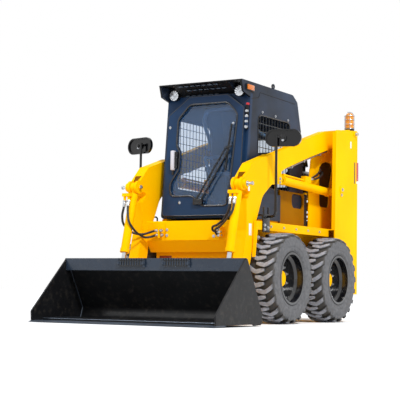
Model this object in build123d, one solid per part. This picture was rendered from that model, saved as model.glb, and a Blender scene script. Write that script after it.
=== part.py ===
from build123d import *
import math
import os

# Skid steer loader, millimetres. +Z is up, the bucket points to -Y, +X is the machine's own left.
# Y is measured from the middle of the wheelbase while modelling; every piece is moved by
# -MIDDLE_Y when it is written, so that the origin is under the middle of the whole machine.

# Overall
FRONT_END_Y = -1970.0
REAR_END_Y = 1160.0
MIDDLE_Y = (FRONT_END_Y + REAR_END_Y) / 2
RUNNING_GAP = 0.3
MOVING_GAP = 6.0

# Wheels
WHEELBASE = 948.0
WHEEL_X = 649.0
TYRE_R = 386.5
TYRE_WIDTH = 264.0
BEAD_R = 212.0
RIM_HALF_WIDTH = 117.0
RIM_FLANGE_R = 224.0
RIM_WELL_R = 186.0
RIM_WALL = 8.0
DISC_X = 640.0
DISC_THICK = 10.0
HUB_R = 70.0
HUB_FLANGE_R = 128.0
HUB_FLANGE_THICK = 16.0
HUB_NOSE = 20.0
HUB_INNER_X = 560.0
AXLE_TUBE_R = 56.0

# Chassis
FRAME_HALF_WIDTH = 440.0
FRAME_WALL = 10.0
FRAME_BOTTOM_Z = 190.0
FRAME_TOP_Z = 850.0
FRAME_FRONT_Y = -740.0
FRAME_REAR_Y = 1108.0
CHAIN_CASE_WIDTH = 110.0
CHAIN_CASE_TOP_Z = 560.0
CAB_RAIL_INNER_X = 370.0
CAB_RAIL_Y = (-690.0, 420.0)
FENDER_HALF_WIDTH = 600.0
FENDER_TOP_Z = 862.0
FENDER_SKIRT_Z = 790.0
FENDER_PLATE = 10.0
FENDER_FRONT_Y = -735.0
MUDGUARD_WIDTH = 28.0
MUDGUARD_TOP_Y = -818.0
MUDGUARD_TOE_Y = -845.0
MUDGUARD_TOE_Z = 560.0

# Rear towers
TOWER_INNER_X = 440.0
TOWER_OUTER_X = 665.0
TOWER_PLATE = 12.0
TOWER_REAR_Y = 1120.0
TOWER_FRONT_Y = 604.0
TOWER_TOP_FRONT_Z = 1795.0
TOWER_TOP_REAR_Z = 1843.0
TOWER_FOOT_Y = 892.0
TOWER_FOOT_Z = 257.0
WHEEL_ARCH_R = 412.0
TOWER_FLANGE = 36.0
TOWER_CAP_Y = 1042.0
GUARD_THICK = 8.0
GUARD_Y = (655.0, 1060.0)
GUARD_Z = (1035.0, 1560.0)
TOWER_CAP_DROP = 8.0

BUMPER_REAR_Y = 1150.0
BUMPER_Z = (205.0, 318.0)
TIE_DOWN_X = 360.0
TIE_DOWN_OUTER_R = 28.0
TIE_DOWN_Y = 1130.0
TIE_DOWN_Z = 158.0
TIE_DOWN_R = 16.0
ENGINE_HINGE_X = -452.0
ENGINE_HINGE_Y = 1142.0
DOOR_KNUCKLE_Z = (440.0, 1000.0)
DOOR_KNUCKLE_LENGTH = 60.0
DOOR_KNUCKLE_R = 14.0
DOOR_PIN_R = 8.0
DOOR_HALF_WIDTH = 430.0
DOOR_Z = (330.0, 1160.0)
DOOR_LIP = 16.0
DOOR_SHEET = 8.0
DOOR_LOUVRES = 9
DOOR_LOUVRE_X = 330.0
DOOR_LOUVRE_Z = 700.0
DOOR_LOUVRE_PITCH = 44.0
ENGINE_HALF_WIDTH = 240.0
ENGINE_Y = (468.0, 988.0)
ENGINE_TOP_Z = 960.0
HOOD_TOP_Z = 1196.0
HOOD_THICK = 16.0
HOOD_SLOTS = 8
HOOD_SLOT_X = 340.0
HOOD_SLOT_Y = 560.0
HOOD_SLOT_PITCH = 62.0

# Boom and its pins, in side view (y, z)
BOOM_PIVOT = (960.0, 1790.0)
PIVOT_BOSS_R = 48.0
TILT_BOSS_R = 56.0
LIFT_REAR_PIN = (760.0, 1222.0)
LIFT_FRONT_PIN = (-290.0, 1258.0)
TILT_TOP_PIN = (-987.0, 1161.0)
TILT_LOW_PIN = (-1182.0, 365.0)
BUCKET_PIVOT = (-1040.0, 205.0)
ARM_INNER_X = 469.0
ARM_OUTER_X = 565.0
BEAM_INNER_X = 482.0
BEAM_OUTER_X = 550.0
ARM_STEP_Y = (-487.0, -386.0)
CYLINDER_X = 517.0
PIN_R = 20.0
PIN_BOSS_R = 36.0
EYE_HALF_WIDTH = 22.0
EYE_R = 42.0
LUG_PLATE = 16.0
LUG_OUTER_X = ARM_OUTER_X + MOVING_GAP + LUG_PLATE
CROSS_FRONT_Y = -866.0
CROSS_REAR_Y = -770.0
CROSS_TOP_Z = 871.0
CROSS_LOW_Z = 698.0
CROSS_BOTTOM_Z = 602.0
CROSS_PANEL_X = 270.0
CROSS_PANEL_THICK = 8.0
BULKHEAD_X = (-314.0, 300.0)
PIPE_R = 8.0
PIPE_X = 530.0
HOSE_R = 10.0
NIPPLE_X = {"left": (485.0, 525.0), "right": (-566.0, -525.0)}
NIPPLE_Y = -60.0
NIPPLE_Z = 1076.0
NIPPLE_R = 12.0
NIPPLE_LENGTH = 34.0

# Cylinders
LIFT_BARREL_R = 38.0
LIFT_ROD_R = 22.0
FOOT_AT = 64.0
NECK_R = 22.0
LIFT_GLAND = 968.0
LIFT_TAIL = 110.0
# Pipe on the lift cylinder; its port blocks as (y from, y to, half width, height over the barrel)
LIFT_PIPE_Y = (-172.0, 232.0)
LIFT_PIPE_R = 9.0
LIFT_PIPE_GAP = 14.0
LIFT_FRONT_PORT = (-186.0, -160.0, 12.0, 24.0)
LIFT_REAR_PORT = (228.0, 348.0, 22.0, 54.0)
TILT_BARREL_R = 37.0
TILT_ROD_R = 20.0
TILT_GLAND = 588.0
TILT_TAIL = 200.0
GLAND_LENGTH = 34.0
GLAND_STEP = 4.0

# Cab
CAB_HALF_WIDTH = 418.0
CAB_WALL = 18.0
CAB_BOTTOM_Z = 897.0
CAB_FACE_Y = -620.0
CAB_FACE_Z = 1940.0
CAB_RAKE = 0.0925
CAB_ROOF_Z = 2080.0
CAB_CEILING_Z = 1985.0
CAB_REAR_Y = 430.0
VISOR_Y = -779.0
ROOF_PLATE = 12.0
LOUVRE_PANEL_X = (-278.0, 278.0)
LIFT_EYE_X = 395.0
LIFT_EYE_Y = -154.0
LIFT_EYE_Z = 2106.0
LIFT_EYE_R = 14.0
LIFT_EYE_OUTER_R = 24.0
LIFT_EYE_WIDTH = 12.0
LAMP_X = 332.0
LAMP_Y = (-665.0, -625.0)
LAMP_Z = 1999.0
LAMP_R = 47.0
LAMP_POST_R = 9.0
MARKER_Y = (-700.0, -575.0)
MARKER_Z = (2001.0, 2045.0)
MARKER_PROUD = 18.0
FACE_THICK = 40.0
DOOR_THICK = 34.0
DOOR_GAP = 3.0
GLASS_THICK = 6.0
DOOR_HINGE_X = 404.0
CAB_HINGE_Z = (1030.0, 1700.0)
HINGE_LENGTH = 80.0
HINGE_R = 12.0
HINGE_PIN_R = 7.0
SCREEN_BAR = 5.0
SCREEN_COLUMNS = 10
SCREEN_ROWS = 8

# Beacon
BEACON_PLACE = (600.0, 1072.0)
BEACON_R = 42.0
BEACON_BASE_HEIGHT = 36.0
BEACON_SHOULDER_Z = 1978.0

# Mirrors
MIRROR_CENTRE = (728.0, -600.0, 1575.0)
MIRROR_TURN = 15.0
MIRROR_LENGTH = 315.0
MIRROR_HEIGHT = 148.0
MIRROR_RIM = 13.0
MIRROR_STEM = (687.0, -647.0)
MIRROR_STEM_R = 11.0

# Bucket
BUCKET_HALF_WIDTH = 869.0
BUCKET_SIDE = 14.0
BUCKET_PLATE = 12.0
BUCKET_FLOOR_Z = 16.0
BUCKET_LIP = (-1478.0, 530.0)
BUCKET_BACK_LOW = (-1228.0, 100.0)
EDGE_DEPTH = 170.0
LIP_BAND_Z = 430.0
STEPS_X = ((-324.0, -53.0), (108.0, 374.0))
STEP_Y = (-1512.0, -1500.0)
STEP_Z = (456.0, 530.0)


def side_outline(rows, x_from, x_to):
    """A side view outline, rows of (y, z, corner radius), made into a solid from x_from to x_to."""
    points = [(x_from, y, z) for y, z, radius in rows]
    radii = [radius for y, z, radius in rows]
    wire = FilletPolyline(*points, radius=radii, close=True)
    return extrude(make_face(wire), amount=x_to - x_from, dir=(1, 0, 0))


def block(x, y, z):
    """A box between pairs of limits."""
    size = [high - low for low, high in (x, y, z)]
    middle = [(high + low) / 2 for low, high in (x, y, z)]
    return Pos(*middle) * Box(*size)


def bar(start, end, radius):
    """A round bar from one point to another."""
    direction = Vector(*end) - Vector(*start)
    place = Plane(origin=start, z_dir=direction)
    return place * Cylinder(radius, direction.length, align=(Align.CENTER, Align.CENTER, Align.MIN))


def cross_bar(pin, x_from, x_to, radius):
    """A round bar along X at a pin given as (y, z)."""
    return bar((x_from, *pin), (x_to, *pin), radius)


def group(pieces):
    """Separate pieces that share a node."""
    return Compound([solid for piece in pieces for solid in piece.solids()])


def mirrored(shape):
    """The same piece on the machine's right-hand side."""
    return mirror(shape, about=Plane.YZ)


def bent_tube(points, radius, bend):
    """A round tube along straight runs with equal bends."""
    path = FilletPolyline(*points, radius=bend)
    start = Plane(origin=path @ 0, z_dir=path % 0)
    return sweep(start * Circle(radius), path=path)


def face_y(z):
    """Y of the raked front face of the cab at a height."""
    return CAB_FACE_Y - (CAB_FACE_Z - z) * CAB_RAKE


def on_face(rows, proud, thick):
    """A front view outline, rows of (x, z, radius), on the raked face; it starts
    `proud` in front of the face and goes `thick` backwards."""
    slope = math.hypot(1, CAB_RAKE)
    base = Plane(origin=(0, face_y(CAB_BOTTOM_Z), CAB_BOTTOM_Z), x_dir=(1, 0, 0), z_dir=(0, -1, CAB_RAKE))
    base = base.offset(proud)
    points = [(x, (z - CAB_BOTTOM_Z) * slope) for x, z, radius in rows]
    radii = [radius for x, z, radius in rows]
    outline = FilletPolyline(*points, radius=radii, close=True)
    return extrude(base * make_face(outline), amount=-thick)


# ---------------------------------------------------------------- wheels
def wheel_plane(side, axle_y):
    """Place for a wheel: its axis points outwards from the machine."""
    return Plane(origin=(side * WHEEL_X, axle_y, TYRE_R), x_dir=(0, 1, 0), z_dir=(side, 0, 0))


def revolved(rows, place):
    """Rows of (distance along the axis, radius) turned about the axis of a place."""
    profile = Polyline(*[(radius, 0, along) for along, radius in rows], close=True)
    return place * revolve(make_face(profile), axis=Axis.Z)


def make_tyre(place):
    """Hollow carcass with beads on the rim."""
    half = TYRE_WIDTH / 2
    bead = RIM_HALF_WIDTH - 12
    section = [
        (-bead, BEAD_R), (-bead, RIM_FLANGE_R + 3), (-124, 242), (-half, 300), (-128, 345), (-112, 374),
        (-80, 383),
        (0, TYRE_R),
    ]
    outer = section + [(-along, radius) for along, radius in section[-2::-1]]
    inner = [(92, BEAD_R), (112, 255), (116, 300), (104, 340), (60, 352)]
    hollow = inner + [(-along, radius) for along, radius in inner[::-1]]
    return revolved(outer + hollow, place)


def make_rim(place):
    """Rim with its disc."""
    disc = DISC_X - WHEEL_X
    bead = RIM_HALF_WIDTH - 12
    outer = [
        (-RIM_HALF_WIDTH, RIM_FLANGE_R), (-bead, RIM_FLANGE_R), (-bead, BEAD_R), (-70, BEAD_R - 4),
        (-55, RIM_WELL_R),
        (40, RIM_WELL_R), (60, BEAD_R - 4), (bead, BEAD_R), (bead, RIM_FLANGE_R),
        (RIM_HALF_WIDTH, RIM_FLANGE_R),
    ]
    inner = [
        (RIM_HALF_WIDTH, BEAD_R - RIM_WALL), (62, BEAD_R - 4 - RIM_WALL), (42, RIM_WELL_R - RIM_WALL),
        (disc + DISC_THICK, RIM_WELL_R - RIM_WALL), (disc + DISC_THICK, HUB_R - 5), (disc, HUB_R - 5),
        (disc, RIM_WELL_R - RIM_WALL), (-57, RIM_WELL_R - RIM_WALL), (-72, BEAD_R - 4 - RIM_WALL),
        (-RIM_HALF_WIDTH, BEAD_R - RIM_WALL),
    ]
    return revolved(outer + inner, place)


def make_hub(place):
    """Hub with a flange inside the disc and a nose through it."""
    disc = DISC_X - WHEEL_X
    body = [
        (HUB_INNER_X - WHEEL_X, 0), (HUB_INNER_X - WHEEL_X, 62), (disc - HUB_FLANGE_THICK, 80),
        (disc - HUB_FLANGE_THICK, HUB_FLANGE_R), (disc, HUB_FLANGE_R), (disc, HUB_R),
        (disc + DISC_THICK + HUB_NOSE - 8, HUB_R), (disc + DISC_THICK + HUB_NOSE, HUB_R - 8),
        (disc + DISC_THICK + HUB_NOSE, 0),
    ]
    return revolved(body, place)


def build_wheels():
    pieces = {}
    for name, side, axle_y in (
        ("front_left", 1, -WHEELBASE / 2),
        ("front_right", -1, -WHEELBASE / 2),
        ("rear_left", 1, WHEELBASE / 2),
        ("rear_right", -1, WHEELBASE / 2),
    ):
        place = wheel_plane(side, axle_y)
        pieces["tyre_" + name] = make_tyre(place)
        pieces["rim_" + name] = make_rim(place) + make_hub(place)
    return pieces


# ---------------------------------------------------------------- chassis
def build_main_frame():
    """Box frame: floor, side walls, chain cases and the rails under the cab."""
    half = FRAME_HALF_WIDTH
    length = (FRAME_FRONT_Y, FRAME_REAR_Y)
    frame = block((-half, half), length, (FRAME_BOTTOM_Z, FRAME_BOTTOM_Z + FRAME_WALL))
    for side in (1, -1):
        wall = sorted((side * half, side * (half - FRAME_WALL)))
        case = sorted((side * half, side * (half - CHAIN_CASE_WIDTH)))
        frame += block(wall, length, (FRAME_BOTTOM_Z, FRAME_TOP_Z))
        frame += block(case, length, (FRAME_BOTTOM_Z, CHAIN_CASE_TOP_Z))
        shelf = sorted((side * (half - FRAME_WALL), side * CAB_RAIL_INNER_X))
        rail = sorted((side * CAB_HALF_WIDTH, side * CAB_RAIL_INNER_X))
        frame += block(shelf, CAB_RAIL_Y, (FRAME_TOP_Z - FRAME_WALL, FRAME_TOP_Z))
        frame += block(rail, CAB_RAIL_Y, (FRAME_TOP_Z - FRAME_WALL, CAB_BOTTOM_Z))
    for y in (FRAME_FRONT_Y, CAB_REAR_Y):
        frame += block((-half, half), (y, y + FRAME_WALL), (FRAME_BOTTOM_Z, FRAME_TOP_Z))
    return frame


def build_axle_tubes():
    """Round tubes from the chain cases to the hubs, each with a bolted flange."""
    tubes = []
    for side in (1, -1):
        for axle_y in (-WHEELBASE / 2, WHEELBASE / 2):
            start = (side * FRAME_HALF_WIDTH, axle_y, TYRE_R)
            end = (side * (HUB_INNER_X - RUNNING_GAP), axle_y, TYRE_R)
            flange = (side * (FRAME_HALF_WIDTH + 16), axle_y, TYRE_R)
            tubes.append(bar(start, end, AXLE_TUBE_R) + bar(start, flange, AXLE_TUBE_R + 34))
    return group(tubes)


def build_fender():
    """Flat fender over both wheels; its outer edge turns down in front of the front tyre."""
    rear_y = TOWER_FRONT_Y
    inner = FRAME_HALF_WIDTH
    outer = FENDER_HALF_WIDTH
    plate = FENDER_PLATE
    fender = block((inner, outer), (FENDER_FRONT_Y, rear_y), (FENDER_TOP_Z - plate, FENDER_TOP_Z))
    fender += block((outer - plate, outer), (MUDGUARD_TOP_Y, rear_y), (FENDER_SKIRT_Z, FENDER_TOP_Z))
    mudguard = [
        (MUDGUARD_TOP_Y, FENDER_TOP_Z, 14), (MUDGUARD_TOE_Y, MUDGUARD_TOE_Z, 0),
        (MUDGUARD_TOE_Y + plate, MUDGUARD_TOE_Z, 0), (MUDGUARD_TOP_Y + 3 * plate, FENDER_TOP_Z, 0),
    ]
    return fender + side_outline(mudguard, outer - MUDGUARD_WIDTH, outer)


def build_tower_outer():
    """Outer plate with its wheel arch, front flange, back plate and the box behind the wheel."""
    outer = TOWER_OUTER_X
    plate = TOWER_PLATE
    outline = [
        (TOWER_FRONT_Y + 16, TOWER_TOP_FRONT_Z, 30), (TOWER_REAR_Y, TOWER_TOP_REAR_Z, 20),
        (TOWER_REAR_Y, TOWER_FOOT_Z, 12), (TOWER_FOOT_Y, TOWER_FOOT_Z, 12),
        (TOWER_FOOT_Y, 600, 0), (TOWER_FRONT_Y, 700, 0),
    ]
    tower = side_outline(outline, outer - plate, outer)
    arch = cross_bar((WHEELBASE / 2, TYRE_R), outer - plate - 1, outer + 1, WHEEL_ARCH_R)
    tower -= arch
    deck = (FENDER_TOP_Z - FENDER_PLATE, FENDER_TOP_Z)
    tower += block((FRAME_HALF_WIDTH, outer), (TOWER_FRONT_Y, TOWER_REAR_Y), deck)
    flange = [
        (TOWER_FRONT_Y + 16, TOWER_TOP_FRONT_Z - 20, 0), (TOWER_FRONT_Y, FENDER_TOP_Z, 0),
        (TOWER_FRONT_Y + plate, FENDER_TOP_Z, 0), (TOWER_FRONT_Y + 16 + plate, TOWER_TOP_FRONT_Z - 20, 0),
    ]
    tower += side_outline(flange, outer - TOWER_FLANGE, outer)
    back = (TOWER_REAR_Y - plate, TOWER_REAR_Y)
    inside = TOWER_INNER_X + plate
    tower += block((inside, outer), back, (TOWER_FOOT_Z, TOWER_TOP_REAR_Z - 12))
    cap_top = TOWER_TOP_REAR_Z - TOWER_CAP_DROP
    tower += block((inside, outer), (TOWER_CAP_Y, TOWER_REAR_Y - 16), (cap_top - plate, cap_top))
    foot = [
        (TOWER_REAR_Y, TOWER_FOOT_Z, 0), (TOWER_FOOT_Y, TOWER_FOOT_Z, 0),
        (TOWER_FOOT_Y, 600, 0), (TOWER_REAR_Y - 160, FENDER_TOP_Z - 1, 0),
        (TOWER_REAR_Y, FENDER_TOP_Z - 1, 0),
    ]
    tower += side_outline(foot, FRAME_HALF_WIDTH, outer)
    tower -= cross_bar((WHEELBASE / 2, TYRE_R), FRAME_HALF_WIDTH - 1, outer + 1, WHEEL_ARCH_R)
    tower += cross_bar(LIFT_REAR_PIN, CYLINDER_X - EYE_HALF_WIDTH - 4, outer - 1, PIN_R)
    return tower + cross_bar(LIFT_REAR_PIN, CYLINDER_X + EYE_HALF_WIDTH + 3, outer - 1, PIN_BOSS_R)


# Inner plate of a tower in two layers, the opening that the hoses pass through and a small hole
TOWER_BACKING = [
    (482, FENDER_TOP_Z, 0), (484, 1210, 0), (528, 1500, 30), (560, 1560, 60), (860, 1645, 60),
    (880, 1821, 30),
    (TOWER_REAR_Y, TOWER_TOP_REAR_Z, 20), (TOWER_REAR_Y, FENDER_TOP_Z, 0),
]
TOWER_FACING = [
    (478, FENDER_TOP_Z, 0), (478, 1230, 0), (498, 1428, 20), (668, 1440, 60), (752, 1540, 160),
    (900, 1618, 60),
    (940, 1815, 30), (TOWER_REAR_Y, TOWER_TOP_REAR_Z, 20), (TOWER_REAR_Y, FENDER_TOP_Z, 0),
]
KEYHOLE = [
    (713, 1082, 40), (705, 1400, 0), (691, 1445, 60), (761, 1500, 80), (869, 1526, 80), (985, 1515, 60),
    (1010, 1460, 40), (946, 1290, 60), (921, 1082, 45),
]
SMALL_HOLE = (837.0, 1049.0)
SMALL_HOLE_R = 11.0


def build_tower_inner():
    """Inner plate with the opening that the hoses pass through, and the pin of the boom."""
    inner = TOWER_INNER_X
    plate = TOWER_PLATE
    tower = side_outline(TOWER_BACKING, inner, inner + plate / 2)
    tower += side_outline(TOWER_FACING, inner + plate / 2, inner + plate)
    tower -= side_outline(KEYHOLE, inner - 1, inner + plate + 1)
    tower -= cross_bar(SMALL_HOLE, inner - 1, inner + plate + 1, SMALL_HOLE_R)
    return tower + cross_bar(BOOM_PIVOT, inner, TOWER_OUTER_X - TOWER_PLATE, PIN_R)


def build_tower_guard():
    """Rubber sheet hung behind the opening of the inner plate."""
    return block((TOWER_INNER_X - GUARD_THICK, TOWER_INNER_X - RUNNING_GAP), GUARD_Y, GUARD_Z)


def build_engine():
    """Plain block at the place and size of the engine and pump."""
    floor = FRAME_BOTTOM_Z + FRAME_WALL
    return block((-ENGINE_HALF_WIDTH, ENGINE_HALF_WIDTH), ENGINE_Y, (floor, ENGINE_TOP_Z))


def build_engine_door():
    """Shallow tray over the back of the engine bay, with louvres and two hinge knuckles."""
    rear = REAR_END_Y
    front = TOWER_REAR_Y + MOVING_GAP
    half = DOOR_HALF_WIDTH
    low, high = DOOR_Z
    inner = half - DOOR_LIP
    door = block((-half, half), (front, rear), (low, high))
    door -= block((-inner, inner), (front - 1, rear - DOOR_SHEET), (low + DOOR_LIP, high - DOOR_LIP))
    for row in range(DOOR_LOUVRES):
        z = DOOR_LOUVRE_Z + row * DOOR_LOUVRE_PITCH
        door -= block((-DOOR_LOUVRE_X, DOOR_LOUVRE_X), (rear - 20, rear + 1), (z, z + DOOR_LOUVRE_PITCH / 2))
    for z in DOOR_KNUCKLE_Z:
        top = z + DOOR_KNUCKLE_LENGTH
        door += bar(engine_hinge_point(z), engine_hinge_point(top), DOOR_KNUCKLE_R)
        door += block((ENGINE_HINGE_X, -half + 5), (ENGINE_HINGE_Y - 6, ENGINE_HINGE_Y + 6), (z, top))
        door -= bar(engine_hinge_point(z - 1), engine_hinge_point(top + 1), DOOR_PIN_R + RUNNING_GAP)
    return door


def engine_hinge_point(z):
    """A point of the engine door's hinge line."""
    return (ENGINE_HINGE_X, ENGINE_HINGE_Y, z)


def build_engine_hinge():
    """Two fixed pins with their brackets on the back of the right-hand tower."""
    hinge = []
    for z in DOOR_KNUCKLE_Z:
        pin = bar(engine_hinge_point(z - 12), engine_hinge_point(z + DOOR_KNUCKLE_LENGTH), DOOR_PIN_R)
        x = (ENGINE_HINGE_X - DOOR_KNUCKLE_R, ENGINE_HINGE_X + DOOR_KNUCKLE_R)
        hinge.append(pin + block(x, (TOWER_REAR_Y, ENGINE_HINGE_Y + 12), (z - 14, z - RUNNING_GAP)))
    return group(hinge)


def build_hood():
    """Cover over the engine bay between the towers, with a row of slots."""
    half = TOWER_INNER_X - GUARD_THICK - RUNNING_GAP
    hood = block((-half, half), (CAB_REAR_Y + 12, TOWER_REAR_Y), (HOOD_TOP_Z - HOOD_THICK, HOOD_TOP_Z))
    for row in range(HOOD_SLOTS):
        y = HOOD_SLOT_Y + row * HOOD_SLOT_PITCH
        slot = (y, y + HOOD_SLOT_PITCH / 2)
        hood -= block((-HOOD_SLOT_X, HOOD_SLOT_X), slot, (HOOD_TOP_Z - 30, HOOD_TOP_Z + 1))
    return hood


def build_bumper():
    """Rear cross member with two tie-down eyes below it."""
    low, high = BUMPER_Z
    bumper = block((-FRAME_HALF_WIDTH, FRAME_HALF_WIDTH), (FRAME_REAR_Y, BUMPER_REAR_Y), (low, high))
    eye = (TIE_DOWN_Y, TIE_DOWN_Z)
    for x in (-TIE_DOWN_X, TIE_DOWN_X):
        bumper += block((x - 8, x + 8), (FRAME_REAR_Y + 1, TIE_DOWN_Y + 20), (TIE_DOWN_Z, low + 1))
        bumper += cross_bar(eye, x - 8, x + 8, TIE_DOWN_OUTER_R)
        bumper -= cross_bar(eye, x - 9, x + 9, TIE_DOWN_R)
    return bumper


def build_side_cover():
    """Yellow sheet beside the cab with an arched opening."""
    cover = block((CAB_HALF_WIDTH + 6, FRAME_HALF_WIDTH), (-86, 404), (FENDER_TOP_Z, 1180))
    opening = [(150, 1036, 50), (150, 1166, 40), (388, 1166, 40), (388, 1036, 50)]
    return cover - side_outline(opening, CAB_HALF_WIDTH, FRAME_HALF_WIDTH + 1)


# ---------------------------------------------------------------- cab
def build_cab_floor():
    """Cab floor with the seat box and the footplate."""
    half = CAB_HALF_WIDTH - CAB_WALL
    floor = block((-half, half), (-640, CAB_REAR_Y - CAB_WALL), (CAB_BOTTOM_Z, CAB_BOTTOM_Z + 14))
    floor += block((-half, half), (0, CAB_REAR_Y - CAB_WALL), (CAB_BOTTOM_Z, 1010))
    floor += block((-230, 230), (-560, -380), (CAB_BOTTOM_Z, CAB_BOTTOM_Z + 60))
    return floor


SIDE_WINDOW = [(-477, 1180, 50), (-477, 1811, 60), (140, 1811, 60), (140, 1180, 50)]


def build_cab_side():
    """Side panel of the cab with its window and a stiffener low down."""
    half = CAB_HALF_WIDTH
    back = FACE_THICK * math.hypot(1, CAB_RAKE)
    outline = [
        (face_y(CAB_BOTTOM_Z) + back, CAB_BOTTOM_Z, 0), (face_y(CAB_CEILING_Z) + back, CAB_CEILING_Z, 0),
        (305, CAB_CEILING_Z, 0), (372, 1763, 80), (CAB_REAR_Y, 1180, 60), (CAB_REAR_Y, CAB_BOTTOM_Z, 0),
    ]
    panel = side_outline(outline, half - CAB_WALL, half)
    panel -= side_outline(SIDE_WINDOW, half - CAB_WALL - 1, half + 1)
    panel += block((half - 1, half + 30), (-554, -92), (CAB_BOTTOM_Z, 1130))
    return panel


def build_side_screen():
    """Welded wire grid in the side window."""
    half = CAB_HALF_WIDTH
    middle = half - CAB_WALL / 2
    grid = None
    for column in range(1, SCREEN_COLUMNS + 1):
        y = -477 + column * 617 / (SCREEN_COLUMNS + 1)
        wire = block((middle - 2, middle + 2), (y - SCREEN_BAR / 2, y + SCREEN_BAR / 2), (1180, 1811))
        grid = wire if grid is None else grid + wire
    for row in range(1, SCREEN_ROWS + 1):
        z = 1180 + row * 631 / (SCREEN_ROWS + 1)
        grid += block((middle - 2, middle + 2), (-477, 140), (z - SCREEN_BAR / 2, z + SCREEN_BAR / 2))
    return grid & side_outline(SIDE_WINDOW, middle - 3, middle + 3)


DOORWAY = [(-350, 935, 20), (-350, 1850, 0), (-190, 1965, 0), (230, 1965, 0), (350, 1850, 0), (350, 935, 20)]


def build_cab_front():
    """Raked front frame of the cab around the doorway, with the hinge pins."""
    half = CAB_HALF_WIDTH
    top = CAB_CEILING_Z
    low = CAB_BOTTOM_Z + FACE_THICK * CAB_RAKE
    outer = [(-half, low, 30), (-half, top, 0), (half, top, 0), (half, low, 30)]
    frame = on_face(outer, 0, FACE_THICK)
    frame -= on_face(DOORWAY, 1, FACE_THICK + 2)
    for z in CAB_HINGE_Z:
        frame += bar(door_hinge_point(z - 14), door_hinge_point(z + HINGE_LENGTH), HINGE_PIN_R)
        y = door_hinge_point(z)[1]
        frame += block((DOOR_HINGE_X - 12, DOOR_HINGE_X + 12), (y - 12, face_y(z) + 4), (z - 18, z - 2))
    return frame


DOOR_OUTLINE = [
    (-385, 918, 30), (-385, 1816, 20), (-173, 1980, 20), (214, 1980, 20), (385, 1853, 20), (385, 918, 30),
]
DOOR_WINDOW = [
    (-316, 1134, 25), (-316, 1215, 20), (-240, 1330, 30), (-240, 1490, 30), (-276, 1549, 20),
    (-276, 1784, 30),
    (-166, 1908, 30), (221, 1908, 30), (323, 1802, 40), (287, 1205, 60), (262, 1003, 30), (16, 1003, 40),
    (-78, 1094, 40), (-288, 1094, 20),
]


def build_cab_door():
    """Glazed entry door with its hinge knuckles."""
    door = on_face(DOOR_OUTLINE, DOOR_THICK + DOOR_GAP, DOOR_THICK)
    door -= on_face(DOOR_WINDOW, DOOR_THICK + DOOR_GAP + 1, DOOR_THICK + 2)
    for z in CAB_HINGE_Z:
        y = door_hinge_point(z + HINGE_LENGTH / 2)[1]
        door += bar(door_hinge_point(z), door_hinge_point(z + HINGE_LENGTH), HINGE_R)
        door += block((380, DOOR_HINGE_X), (y - 5, y + 5), (z + 6, z + HINGE_LENGTH - 6))
        bore = HINGE_PIN_R + RUNNING_GAP
        door -= bar(door_hinge_point(z - 5), door_hinge_point(z + HINGE_LENGTH + 5), bore)
    return door


def build_door_glass():
    """Pane in the middle of the door's thickness."""
    return on_face(DOOR_WINDOW, DOOR_GAP + DOOR_THICK / 2, GLASS_THICK)


def door_hinge_point(z):
    """A point of the cab door's hinge line."""
    return (DOOR_HINGE_X, face_y(z) - DOOR_GAP - DOOR_THICK / 2, z)


def build_cab_roof():
    """Roof that runs forward as a thin visor between two cheeks; a louvred panel slopes under it."""
    half = CAB_HALF_WIDTH
    front = face_y(CAB_CEILING_Z)
    under = CAB_ROOF_Z - ROOF_PLATE
    shell = [
        (VISOR_Y, CAB_ROOF_Z, 4), (200, CAB_ROOF_Z, 60), (293, 2023, 20), (305, CAB_CEILING_Z, 0),
        (front, CAB_CEILING_Z, 0), (front, under, 0), (VISOR_Y, under, 4),
    ]
    high = under + 1
    low = CAB_CEILING_Z + 7
    louvre_panel = [(VISOR_Y + 10, high, 0), (front + 1, high, 0), (front + 1, low, 0), (front - 8, low, 0)]
    roof = side_outline(shell, -half, half) + side_outline(louvre_panel, *LOUVRE_PANEL_X)
    cheek = [(VISOR_Y, CAB_ROOF_Z - 4, 0), (-600, CAB_ROOF_Z - 4, 0), (-600, 1943, 0), (-745, 1976, 0)]
    ceiling = CAB_CEILING_Z
    behind_face = [
        (face_y(1900) - 0.5, 1900, 0), (front - 0.5, ceiling, 0), (-500, ceiling, 0), (-500, 1900, 0),
    ]
    cut = side_outline(behind_face, -half, half)
    for side in (1, -1):
        limits = sorted((side * half, side * (half - CAB_WALL)))
        roof += side_outline(cheek, *limits) - cut
        eye = (LIFT_EYE_Y, LIFT_EYE_Z)
        width = sorted((side * LIFT_EYE_X - LIFT_EYE_WIDTH / 2, side * LIFT_EYE_X + LIFT_EYE_WIDTH / 2))
        roof += block(width, (LIFT_EYE_Y - 12, LIFT_EYE_Y + 12), (CAB_ROOF_Z - 20, LIFT_EYE_Z))
        roof += cross_bar(eye, *width, LIFT_EYE_OUTER_R)
        roof -= cross_bar(eye, width[0] - 1, width[1] + 1, LIFT_EYE_R)
    return roof


def build_cab_rear():
    """Bent rear panel with its window."""
    half = CAB_HALF_WIDTH - CAB_WALL
    wall = CAB_WALL
    outline = [
        (305, CAB_CEILING_Z, 0), (372, 1763, 80), (CAB_REAR_Y, 1180, 60), (CAB_REAR_Y, CAB_BOTTOM_Z, 0),
        (CAB_REAR_Y - wall, CAB_BOTTOM_Z, 0), (CAB_REAR_Y - wall, 1178, 60), (354, 1760, 62),
        (287, CAB_CEILING_Z, 0),
    ]
    panel = side_outline(outline, -half, half)
    return panel - REAR_WINDOW


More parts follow.
